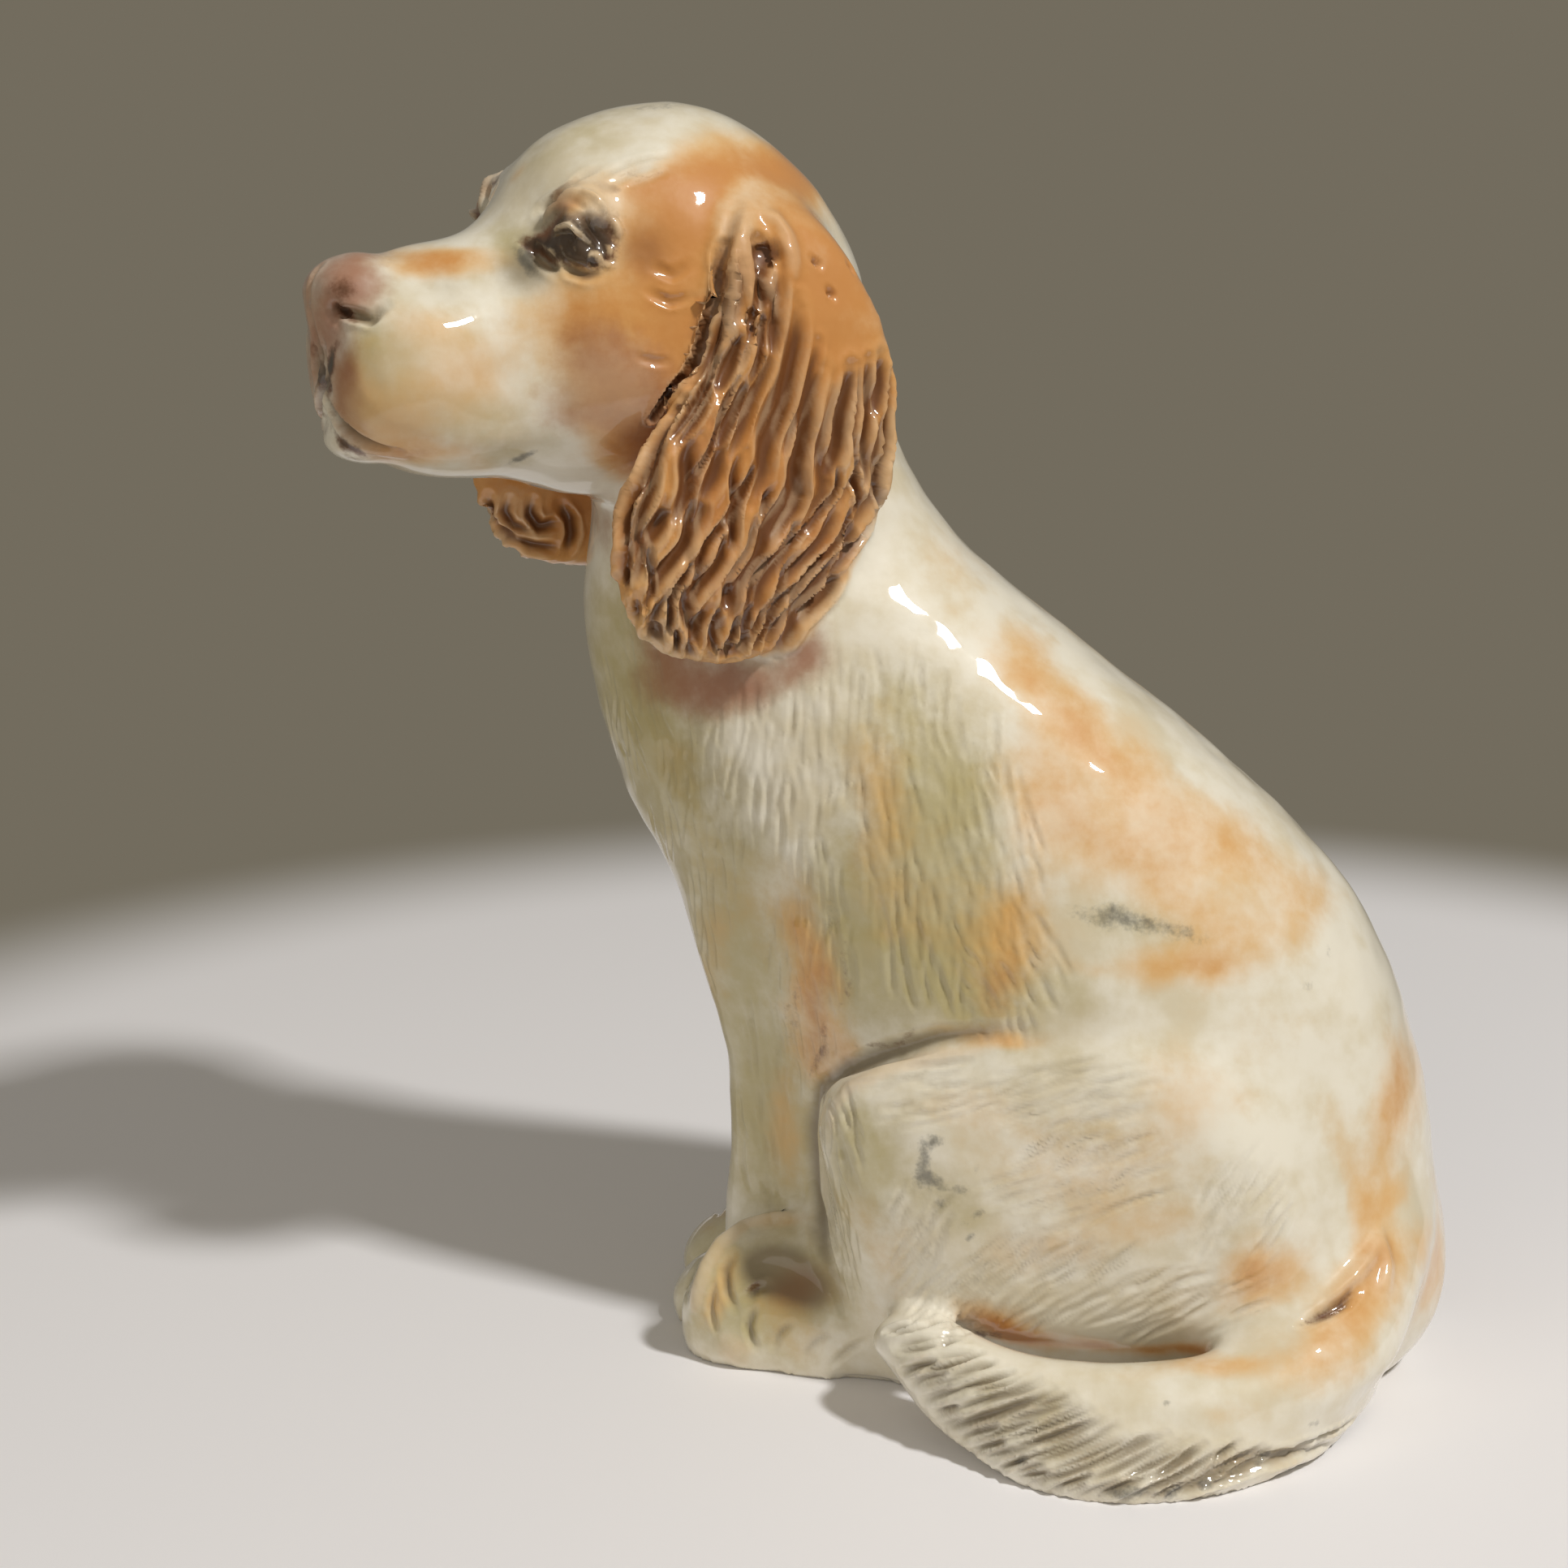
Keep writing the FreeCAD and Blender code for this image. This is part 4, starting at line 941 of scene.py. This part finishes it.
# For each slip, the pieces that it is on and its patches.
SLIPS = {
    "amber": (
        (FACE, (
            (810, 225, 70, 36, -14, 0.8), (890, 255, 110, 72, 0, 0.98), (820, 330, 85, 90, 0, 0.95),
            (750, 400, 90, 60, 10, 0.75), (840, 450, 75, 100, 0, 0.9), (965, 225, 60, 44, 20, 0.9),
            (545, 316, 85, 15, 2, 0.85), (520, 400, 50, 35, 0, 0.4), (480, 520, 60, 36, 20, 0.55),
            (560, 490, 80, 50, 0, 0.5), (520, 560, 80, 22, 8, 0.6), (790, 560, 50, 40, 0, 0.8),
            (620, 205, 14, 44, 20, 0.7), (760, 500, 70, 60, 0, 0.85), (690, 400, 50, 60, 0, 0.55),
            # (600, 430) is partly amber mottle and partly painted shade on the muzzle's side.
            (706, 256, 26, 16, -30, 0.9), (600, 430, 90, 60, 0, 0.35), (440, 470, 30, 60, 0, 0.5),
            (930, 340, 40, 120, 0, 0.95),
        )),
        (EARS, (
            (950, 500, 300, 500, 0, 0.78), (1020, 370, 90, 130, 0, 0.85), (660, 640, 160, 160, 0, 0.8),
            (920, 640, 130, 200, 0, 0.6),
        )),
        (BODY, (
            (1250, 810, 60, 50, 40, 0.4), (1330, 890, 130, 46, 42, 0.48), (1430, 980, 120, 40, 45, 0.5),
            (1290, 970, 80, 100, 0, 0.52), (1400, 1050, 120, 60, 15, 0.58), (1540, 1040, 80, 40, 50, 0.5),
            (1610, 1110, 50, 60, 60, 0.52), (1500, 1140, 110, 40, 20, 0.55), (1470, 1190, 66, 20, 4, 0.9),
            (1380, 1190, 60, 14, 0, 0.45), (1722, 1340, 30, 90, 8, 0.75), (1705, 1500, 70, 70, 0, 0.62),
            (1750, 1560, 36, 80, 0, 0.6), (1620, 1560, 70, 30, -15, 0.5), (1180, 700, 70, 60, 0, 0.25),
            (995, 1200, 36, 110, 0, 0.72), (1030, 1290, 36, 60, 0, 0.6), (1080, 980, 40, 100, 0, 0.45),
            (1240, 1160, 60, 90, 0, 0.62), (1130, 1100, 70, 90, 0, 0.35), (875, 1180, 30, 120, 0, 0.25),
            (1650, 1420, 50, 70, 0, 0.3), (1220, 1280, 60, 12, 0, 0.85), (965, 1390, 24, 80, 0, 0.45),
            (1560, 1280, 90, 60, 0, 0.2), (850, 950, 70, 90, 0, 0.15), (1500, 890, 60, 26, 45, 0.25),
            (950, 1100, 60, 80, 0, 0.22),
        )),
        (THIGHS, (
            (1245, 1636, 80, 30, 20, 0.98), (1420, 1666, 170, 14, 0, 0.95), (1470, 1360, 70, 60, 0, 0.45),
            (1340, 1430, 120, 70, 0, 0.35), (1200, 1370, 60, 40, 0, 0.3), (1560, 1570, 70, 50, -20, 0.7),
            (1300, 1540, 80, 30, 0, 0.35), (1230, 1276, 120, 10, 0, 0.6), (1100, 1560, 40, 60, 0, 0.25),
            (1060, 1480, 30, 50, 0, 0.3), (1420, 1500, 70, 30, -10, 0.3),
        )),
        (TAIL, (
            (1630, 1680, 60, 40, -20, 0.5), (1660, 1620, 60, 50, 0, 0.6), (1500, 1680, 80, 14, 0, 0.6),
            (1700, 1560, 60, 60, 0, 0.7), (1520, 1740, 50, 24, 0, 0.25), (1400, 1700, 60, 16, 0, 0.2),
        )),
        (PAWS, (
            (890, 1590, 22, 50, 20, 0.55), (980, 1600, 50, 40, 0, 0.6), (960, 1510, 40, 12, -10, 0.4),
            (1000, 1660, 60, 20, 0, 0.3),
        )),
    ),
    "olive_and_shade": (
        (FACE, (
            # (470, 470) here and (560, 520) below, on the front and underside of the muzzle, are partly
            # olive mottle and partly painted shade.
            (470, 470, 50, 70, 0, 0.75), (560, 410, 60, 40, 0, 0.45), (720, 340, 30, 26, 0, 0.3),
            (640, 300, 36, 36, 0, 0.6), (560, 520, 110, 40, 0, 0.7), (700, 175, 90, 26, -25, 0.4),
            (660, 560, 60, 30, 0, 0.35),
        )),
        # Olive on the chest, flank, forelegs and between foreleg and haunch is partly olive glaze and
        # partly painted shade on sides that face away from the key lamp.
        (BODY, (
            (770, 800, 70, 120, 0, 0.7), (820, 940, 80, 130, 0, 0.7), (1150, 1000, 110, 130, 0, 0.8),
            (1160, 1180, 130, 110, 0, 0.9), (900, 1150, 70, 170, 0, 0.75), (950, 1380, 70, 160, 0, 0.8),
            (1030, 1150, 70, 130, 0, 0.7), (1080, 860, 90, 60, 0, 0.35), (1410, 1140, 80, 26, 15, 0.6),
            (1300, 1230, 120, 40, 0, 0.4),
        )),
        (THIGHS, (
            # (1064, 1430), on the knee's front, is partly olive glaze and partly painted shade.
            (1300, 1300, 200, 40, 0, 0.25), (1064, 1430, 56, 90, 0, 0.7), (1450, 1500, 110, 90, 0, 0.25),
            (1170, 1480, 60, 50, 0, 0.5), (1040, 1560, 40, 80, 0, 0.4), (1340, 1400, 60, 30, 0, 0.4),
        )),
        (TAIL, ((1200, 1720, 200, 90, 30, 0.3),)),
        # Painted shade over the hind paw's hollow and its shaded top, in olive.
        (PAWS, ((940, 1600, 130, 90, 0, 0.8),)),
    ),
    "rose": (
        (FACE, (
            (692, 264, 15, 26, 25, 0.95), (425, 350, 60, 52, 0, 0.98), (395, 420, 26, 60, 0, 0.9),
            (432, 480, 28, 60, 0, 0.85),
            (450, 530, 40, 26, 30, 0.6), (500, 560, 60, 14, 6, 0.5), (760, 470, 90, 60, 0, 0.8),
            (720, 420, 60, 40, 0, 0.6), (850, 540, 50, 60, 0, 0.9), (700, 510, 50, 34, 0, 0.5),
            (890, 400, 30, 130, 0, 0.85), (440, 305, 40, 14, 0, 0.8), (810, 540, 40, 50, 0, 0.6),
        )),
        (EARS, (
            (900, 700, 120, 120, 0, 0.4), (860, 520, 40, 120, 0, 0.45), (650, 640, 90, 90, 0, 0.5),
            (910, 330, 16, 90, 0, 0.5), (1000, 620, 60, 160, 0, 0.3),
        )),
        (BODY, (
            (900, 835, 110, 44, -8, 0.95), (1005, 800, 34, 50, 0, 0.9), (820, 800, 50, 50, 0, 0.8),
            (740, 640, 30, 50, 0, 0.6), (1230, 1210, 50, 60, 0, 0.5), (1010, 1240, 26, 80, 0, 0.5),
            (1060, 1000, 20, 80, 6, 0.4),
        )),
    ),
    "umber_and_shade": (
        (FACE, (
            (724, 302, 40, 40, 0, 0.98), (706, 306, 40, 30, 0, 0.98), (672, 311, 24, 12, 38, 0.95),
            (698, 240, 24, 9, -35, 0.8), (746, 234, 13, 9, 0, 0.9), (782, 205, 50, 6, -12, 0.45),
            # (418, 356) is painted shade in the nostril; the next two darken the nostril's comma and the
            # mouth line.
            (418, 356, 26, 24, 0, 0.62), (424, 394, 24, 8, 20, 0.95), (403, 470, 9, 60, 0, 0.75),
            (433, 548, 28, 7, 30, 0.85), (845, 495, 26, 9, -50, 0.6),
        )),
        # Painted shade in the ear's hole and in the crease along its front edge.
        (EARS, ((945, 316, 12, 18, 0, 0.7), (886, 380, 8, 90, 8, 0.5))),
        # Painted shade along the crease between haunch and tail.
        (THIGHS, ((1270, 1662, 100, 12, 14, 0.85), (1430, 1682, 170, 9, 0, 0.8))),
        # Painted shade in the pit and along the fork at the tail's root.
        (TAIL, ((1640, 1612, 46, 9, -35, 0.7), (1690, 1560, 10, 30, 0, 0.4))),
        (BODY, (
            # (1640, 1600) is painted shade in the tail root's pit and (1100, 1282) a painted shadow above
            # the haunch's top edge; the upright streaks are brown feathering at the back of the foreleg.
            (1015, 1290, 8, 40, 20, 0.5), (1640, 1600, 46, 9, -35, 0.6), (1100, 1282, 60, 8, -8, 0.55),
            (980, 1230, 12, 60, 10, 0.4), (1040, 1200, 10, 60, 0, 0.4),
        )),
        # Painted shade in the crease between the hind paw's toes.
        (PAWS, ((930, 1596, 16, 7, -20, 0.75),)),
    ),
    "ink": (
        (FACE, (
            (640, 566, 26, 7, -20, 0.95), (650, 318, 14, 16, 0, 0.95), (402, 462, 6, 34, 0, 0.9),
            (436, 545, 22, 5, 35, 0.8), (810, 138, 60, 7, -8, 0.55),
        )),
        (BODY, (
            (1400, 1138, 95, 15, 14, 0.85), (1612, 1222, 34, 9, 35, 0.6), (1636, 1180, 10, 16, 0, 0.5),
            (895, 1266, 9, 4, 0, 0.95), (1195, 910, 16, 4, 0, 0.6), (800, 965, 26, 8, 30, 0.35),
            (1030, 1130, 10, 30, 0, 0.5),
        )),
        (THIGHS, (
            (1130, 1440, 10, 28, 0, 0.85), (1148, 1412, 18, 8, -30, 0.85), (1142, 1460, 22, 11, 0, 0.85),
            (1173, 1455, 12, 8, 0, 0.7), (1206, 1434, 7, 9, 0, 0.75), (1190, 1460, 10, 8, 0, 0.65),
            (1152, 1484, 10, 9, 0, 0.75), (1200, 1488, 12, 7, 0, 0.65), (1180, 1500, 18, 6, -30, 0.55),
            (1195, 1516, 8, 10, 0, 0.9), (1225, 1455, 9, 13, 0, 0.45),
        )),
        (TAIL, (
            (1375, 1846, 34, 12, -8, 0.95), (1440, 1838, 16, 7, -30, 0.95), (1485, 1822, 18, 7, -30, 0.9),
            (1540, 1798, 34, 5, -32, 0.85), (1432, 1726, 6, 7, 0, 0.98), (1628, 1750, 9, 5, 0, 0.7),
            (1256, 1808, 10, 8, 0, 0.85), (1120, 1690, 14, 7, 0, 0.5),
        )),
    ),
}


def picture_spots(places):
    """Where places show in the picture, as rows of u and v."""
    gaps = places - np.array(CAMERA_PLACE)
    deep = gaps @ np.array(look)
    u = PICTURE / 2 + FOCAL * (gaps @ np.array(across)) / deep
    v = PICTURE / 2 - FOCAL * (gaps @ np.array(above)) / deep
    return np.column_stack([u, v])


def turned_over(places, on_head):
    """The places with those of the far side mirrored to the near side."""
    near = places.copy()
    near[:, 0] = np.abs(near[:, 0])
    ahead, left, up = in_head(places).T
    head_near = np.column_stack([ahead, np.abs(left), up]) @ np.array([forward, leftward, upward])
    return np.where(on_head[:, None], HEAD_PLACE + head_near, near)


# How far noise bends a patch and strays it on the far side, in spots of the picture.
BEND, STRAY = 16, 70
FAR_STARTS, FAR_FULL = 2, -6
STRONGEST = 0.98
EDGE = 1.3
# Marks that were made once, on the side that the camera sees.
ONE_SIDED = (("rose", BODY), ("ink", BODY), ("ink", THIGHS), ("umber_and_shade", TAIL))


def slip_amounts(places, table):
    """How much of each slip lies on each point."""
    def on(group):
        return table[:, [names.index(name) for name in group]].any(1)

    amounts = {}
    spots = picture_spots(turned_over(places, on(FACE + EARS)))
    bend = np.column_stack([clouds(places, 7, seed) + 0.5 * clouds(places, 3, seed + 9) for seed in (1, 2)])
    spots = spots + BEND * bend
    far = ease(places[:, 0], FAR_STARTS, FAR_FULL) * ~on(FACE + EARS)
    strayed = np.column_stack([clouds(places, 17, seed) for seed in (21, 22)])
    spots = spots + STRAY * far[:, None] * strayed
    for slip, groups in SLIPS.items():
        total = np.zeros(len(places))
        for group, patches in groups:
            bare = np.ones(len(places))
            for u, v, wide, high, tilt, strength in patches:
                turn = math.radians(tilt)
                gap_u, gap_v = spots[:, 0] - u, spots[:, 1] - v
                along = (gap_u * math.cos(turn) + gap_v * math.sin(turn)) / wide
                beside = (gap_v * math.cos(turn) - gap_u * math.sin(turn)) / high
                bare *= 1 - min(strength, STRONGEST) * np.exp(-(along**2 + beside**2) ** EDGE)
            laid = (1 - bare) * (1 - far if (slip, group) in ONE_SIDED else 1)
            total = np.where(on(group), np.maximum(total, laid), total)
        amounts[slip] = total
    return amounts


SHARP = ("ink", "umber_and_shade")
SHARP_ROUNDS, SOFT_ROUNDS = 2, 12
DEEPEST = 1.5
slips = slip_amounts(work.points, corner_owners(skin, owners))
skin_edges = edges_of(skin)
for slip in slips:
    flat = np.column_stack([slips[slip]] * 3)
    rounds = SHARP_ROUNDS if slip in SHARP else SOFT_ROUNDS
    slips[slip] = melt(flat, skin_edges, np.ones(len(flat)), rounds)[:, 0]
for layer, marks in (("groove", work.groove), ("ridge", work.ridge)):
    slips[layer] = np.clip(marks, 0, DEEPEST)
print({slip: round(float(amount.max()), 2) for slip, amount in slips.items()})

# %% [markdown]
# ## Parting the skin into pieces
# The shaped skin goes back into the pieces that it came from. Each piece keeps the light
# directions of the whole skin, so that no seam shows, and its rim turns in under the surface
# as a lip. A lid from rim to rim would close it, but would stick out where a join is hollow.

# %% Part the skin
def slot_of(name):
    """The record's material slot of a CAD node."""
    return next(p["material_slot"] for p in frame["record"]["subparts"] if p["node"] == name)


LIP = 1.2


def part_skin(mesh, owners):
    """Makes one object for each piece of the skin."""
    points, normals = points_of(mesh), points_of(mesh, "normal")
    pieces = {}
    for index, name in enumerate(names):
        if name == SLAB:
            continue
        faces = [mesh.polygons[f].vertices[:] for f in np.flatnonzero(owners == index)]
        used = np.unique(np.concatenate([np.array(f) for f in faces]))
        place = {old: new for new, old in enumerate(used.tolist())}
        part = bpy.data.meshes.new(name + "_clay")
        part.from_pydata(points[used].tolist(), [], [[place[v] for v in f] for f in faces])
        bm = bmesh.new()
        bm.from_mesh(part)
        bm.verts.ensure_lookup_table()
        inward = {bm.verts[i]: (i, -Vector(normals[old]) * LIP * MM) for i, old in enumerate(used.tolist())}
        rim = [edge for edge in bm.edges if edge.is_boundary]
        ends = list({vert for edge in rim for vert in edge.verts})
        starts = {tuple(vert.co): inward[vert] for vert in ends}
        lip = bmesh.ops.extrude_edge_only(bm, edges=rim)["geom"]
        hung_from = []
        for vert in [item for item in lip if isinstance(item, bmesh.types.BMVert)]:
            above_it, step = starts[tuple(vert.co)]
            hung_from.append(above_it)
            vert.co += step
        bm.to_mesh(part)
        bm.free()
        extra = len(part.vertices) - len(used)
        for slip, amount in slips.items():
            layer = part.attributes.new(slip, "FLOAT", "POINT")
            amount = amount[used]
            layer.data.foreach_set("value", np.concatenate([amount, amount[hung_from]]))
        part.shade_smooth()
        part.normals_split_custom_set_from_vertices(normals[used].tolist() + [(0, 0, 0)] * extra)
        piece = link(bpy.data.objects.new(name + "_glazed", part))
        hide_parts(name)
        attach(piece, "root")
        pieces[name] = piece
    return pieces


pieces = part_skin(skin, owners)
print({name: len(piece.data.polygons) for name, piece in pieces.items()})

# %% [markdown]
# ## Sums in a material
# A material is a net of nodes. One small class wraps an output, so that masks can be added
# and multiplied like numbers in Python, and its one method makes every other kind of node.

# %% A socket that reckons
class Wire:
    """An output of a node, which can be reckoned with like a number."""

    def __init__(self, socket):
        self.socket = socket

    @staticmethod
    def node(tree, kind, settings=None, inputs=None, output=0):
        """A new node of a kind. Its settings are set first, then its inputs, by name or number."""
        made = tree.nodes.new(kind)
        for name, value in (settings or {}).items():
            setattr(made, name, value)
        for name, value in (inputs or {}).items():
            if isinstance(value, Wire):
                tree.links.new(value.socket, made.inputs[name])
            else:
                made.inputs[name].default_value = value
        return Wire(made.outputs[output])

    def reckon(self, operation, first, second=0.0):
        """A Math node on two values."""
        tree = self.socket.id_data
        settings = {"operation": operation}
        return Wire.node(tree, "ShaderNodeMath", settings, {0: first, 1: second})

    def __add__(self, other):
        return self.reckon("ADD", self, other)

    def __sub__(self, other):
        return self.reckon("SUBTRACT", self, other)

    def __rsub__(self, other):
        return self.reckon("SUBTRACT", other, self)

    def __mul__(self, other):
        return self.reckon("MULTIPLY", self, other)

    __radd__ = __add__
    __rmul__ = __mul__


# %% [markdown]
# ## The glaze
# The glaze is a thin glass over coloured slips: cream over all, amber brushed on in patches.
# How much of each colour lies where is kept as a number on each point of the mesh, and noise
# in the material breaks those soft numbers up into the mottle and the ragged edges of a
# brushed slip. A painted picture would do too, but noise stays sharp at any size.

# %% Glaze
CREAM = (0.84, 0.79, 0.67)
CREAM_SHADE = (0.72, 0.64, 0.47)
# This olive also stands in for painted shade on the chest, flank, forelegs and knee.
OLIVE_AND_SHADE = (0.42, 0.35, 0.13)
AMBER = (0.60, 0.24, 0.045)
AMBER_PALE = (0.77, 0.42, 0.115)
ROSE = (0.33, 0.125, 0.065)
# This umber also stands in for painted shade in the nostrils, creases, holes and hollows.
UMBER_AND_SHADE = (0.050, 0.026, 0.014)
BROWN = (0.15, 0.058, 0.024)
INK = (0.085, 0.085, 0.075)
WORN = (0.78, 0.55, 0.33)
POOL = (0.13, 0.040, 0.012)
POOL_PALE = (0.22, 0.17, 0.10)


def mixed(factor, one, other):
    """A colour between two, by a factor from 0 to 1."""
    tree = factor.socket.id_data
    return Wire.node(tree, "ShaderNodeMix", {"data_type": "RGBA"}, {0: factor, 6: one, 7: other}, output=2)


def colour(red_green_blue):
    """A colour as a socket takes it."""
    return (*red_green_blue, 1)


def fresh_material(name):
    """A new material, with its tree and its shader."""
    material = bpy.data.materials.new(name)
    material.use_nodes = True
    return material, material.node_tree, material.node_tree.nodes["Principled BSDF"]


def glaze(name, roughness=0.45, coat=1.0):
    """A glossy glaze over the slips that lie on the mesh."""
    material, tree, shader = fresh_material(name)
    place = Wire.node(tree, "ShaderNodeNewGeometry")

    def noise(grain, detail, seed):
        """Noise from 0 to 1 in lumps about grain millimetres wide."""
        inputs = {"Vector": place, "W": seed, "Scale": 1000 / grain, "Detail": detail, "Roughness": 0.6}
        return Wire.node(tree, "ShaderNodeTexNoise", {"noise_dimensions": "4D"}, inputs)

    def slip(kind):
        """How much of a slip lies here."""
        return Wire.node(tree, "ShaderNodeAttribute", {"attribute_name": kind}, output="Fac")

    def step(value, low, high):
        """A soft step from 0 at low to 1 at high."""
        inputs = {"Value": value, "From Min": low, "From Max": high}
        return Wire.node(tree, "ShaderNodeMapRange", {"interpolation_type": "SMOOTHSTEP"}, inputs)

    broad, mottle, fine, ragged = noise(14, 3, 1), noise(4.5, 4, 2), noise(1.3, 3, 3), noise(0.6, 2, 4)
    base = mixed(step(broad + (mottle - 0.5) * 0.6, 0.35, 0.7), colour(CREAM), colour(CREAM_SHADE))
    # The olive mask: olive glaze, and partly painted shade on the sides that face away from the key lamp.
    olive_and_shade = step(slip("olive_and_shade") + (mottle - 0.5) * 0.6, 0.08, 0.85)
    base = mixed(olive_and_shade * 0.78, base, colour(OLIVE_AND_SHADE))
    amber = step(slip("amber") + (broad - 0.5) * 0.4 + (mottle - 0.5) * 0.55, 0.08, 0.92)
    deeper = step(slip("amber") + (mottle - 0.5) * 0.5, 0.45, 1.0)
    base = mixed(amber * 0.95, base, mixed(deeper, colour(AMBER_PALE), colour(AMBER)))
    rose = step(slip("rose") + (mottle - 0.5) * 0.6 + (fine - 0.5) * 0.2, 0.2, 1.0)
    base = mixed(rose * 0.85, base, colour(ROSE))
    pool_tone = mixed(step(slip("amber"), 0.3, 0.8), colour(POOL_PALE), colour(POOL))
    pooled = step(slip("groove") + (fine - 0.5) * 0.2, 0.10, 1.1)
    base = mixed(pooled * 0.88, base, pool_tone)
    # The umber mask: dark glaze in the eyes, and painted shade in the nostrils, creases, holes and hollows.
    umber_and_shade = step(slip("umber_and_shade") + (fine - 0.5) * 0.6 + (ragged - 0.5) * 0.4, 0.26, 0.74)
    umber_and_shade_tone = mixed(step(slip("umber_and_shade") + (mottle - 0.5) * 0.8, 0.5, 0.95), colour(BROWN), colour(UMBER_AND_SHADE))
    worn = step(slip("ridge") + (fine - 0.5) * 0.5, 0.25, 0.8)
    base = mixed(umber_and_shade * (1 - worn * 0.7) * 0.96, base, umber_and_shade_tone)
    base = mixed(worn * 0.35, base, colour(WORN))
    ink = step(slip("ink") + (fine - 0.5) * 0.7 + (ragged - 0.5) * 0.6, 0.30, 0.95)
    base = mixed(ink * 0.72, base, colour(INK))
    tree.links.new(base.socket, shader.inputs["Base Color"])
    finish = {
        "Roughness": roughness, "Specular IOR Level": 0.25, "Coat Weight": coat,
        "Coat Roughness": 0.03, "Coat IOR": 1.55,
    }
    for socket, value in finish.items():
        shader.inputs[socket].default_value = value
    height = noise(3.2, 2, 5) * 0.7 + fine * 0.12
    bump_inputs = {"Strength": 0.35, "Distance": 0.0004, "Height": height}
    bump = Wire.node(tree, "ShaderNodeBump", None, bump_inputs, output="Normal")
    tree.links.new(bump.socket, shader.inputs["Normal"])
    return material


def bare_clay(name):
    """Fired clay without glaze: matte, with fine sand in it."""
    material, tree, shader = fresh_material(name)
    place = Wire.node(tree, "ShaderNodeNewGeometry")
    inputs = {"Vector": place, "Scale": 1500, "Detail": 4}
    sand = Wire.node(tree, "ShaderNodeTexNoise", None, inputs)
    base = mixed(sand, colour((0.62, 0.52, 0.40)), colour((0.74, 0.66, 0.54)))
    tree.links.new(base.socket, shader.inputs["Base Color"])
    shader.inputs["Roughness"].default_value = 0.85
    return material


materials = {
    "cream_glaze": glaze("cream_glaze"),
    "amber_glaze": glaze("amber_glaze"),
    "nose_glaze": glaze("nose_glaze", roughness=0.5, coat=0.8),
    "eye_glaze": glaze("eye_glaze", roughness=0.35),
    "bare_clay": bare_clay("bare_clay"),
}
for name, piece in pieces.items():
    piece.data.materials.append(materials[slot_of(name)])
slab = frame["nodes"][SLAB]
slab.data.materials.clear()
slab.data.materials.append(materials["bare_clay"])

# %% [markdown]
# ## Floor and light
# The figure stands on a pale surface in front of a blurred grey-green wall. Here the floor
# itself fades into the wall's colour some way out, and the sky that the camera sees has the
# same colour, so that there is no edge anywhere. One lamp stands high at the back, where the
# sun was, and a broad weak one fills the side that the camera sees.

# %% Stage
REACH = 3.0
PALE = (0.88, 0.87, 0.90)
WALL = (0.170, 0.150, 0.112)
SKY = (0.205, 0.19, 0.16)
FADES_FROM, FADES_TO = 0.20, 0.27
MIDDLE = Vector((0, 0, 0.08))

corners = [(-REACH, -REACH, 0), (REACH, -REACH, 0), (REACH, REACH, 0), (-REACH, REACH, 0)]
floor_mesh = bpy.data.meshes.new("floor")
floor_mesh.from_pydata(corners, [], [(0, 1, 2, 3)])
floor = link(bpy.data.objects.new("floor", floor_mesh))
floor.location.z = -0.0001

paper, tree, shader = fresh_material("floor_paper")
shader.inputs["Base Color"].default_value = colour(PALE)
shader.inputs["Roughness"].default_value = 0.6
place = Wire.node(tree, "ShaderNodeNewGeometry")
away = Wire.node(tree, "ShaderNodeVectorMath", {"operation": "LENGTH"}, {0: place}, output="Value")
fade_inputs = {"Value": away, "From Min": FADES_FROM, "From Max": FADES_TO}
fade = Wire.node(tree, "ShaderNodeMapRange", {"interpolation_type": "SMOOTHSTEP"}, fade_inputs)
wall = Wire.node(tree, "ShaderNodeEmission", None, {"Color": colour(WALL)})
near_floor = Wire(shader.outputs[0])
seen = Wire.node(tree, "ShaderNodeMixShader", None, {0: fade, 1: near_floor, 2: wall})
tree.links.new(seen.socket, tree.nodes["Material Output"].inputs["Surface"])
floor_mesh.materials.append(paper)

world = bpy.data.worlds.new("studio")
world.use_nodes = True
tree = world.node_tree
to_camera = Wire.node(tree, "ShaderNodeLightPath", output="Is Camera Ray")
sky = mixed(to_camera, colour(SKY), colour(WALL))
tree.links.new(sky.socket, tree.nodes["Background"].inputs["Color"])
bpy.context.scene.world = world


def lamp(name, place, size, power, tint):
    """A square soft lamp that faces the dog's middle."""
    light = bpy.data.lights.new(name, "AREA")
    light.size, light.energy, light.color = size, power, tint
    made = link(bpy.data.objects.new(name, light))
    made.location = Vector(place)
    made.rotation_euler = (MIDDLE - made.location).to_track_quat("-Z", "Y").to_euler()
    return made


# name, place, size, power and tint
lamp("key", (0.36, 0.62, 1.0), 0.11, 10, (1.0, 0.98, 0.94))
fill = lamp("fill", (0.75, -0.35, 0.4), 0.6, 1.5, (1.0, 0.95, 0.85))
fill.visible_glossy = False
bpy.context.scene.view_settings.view_transform = "Standard"
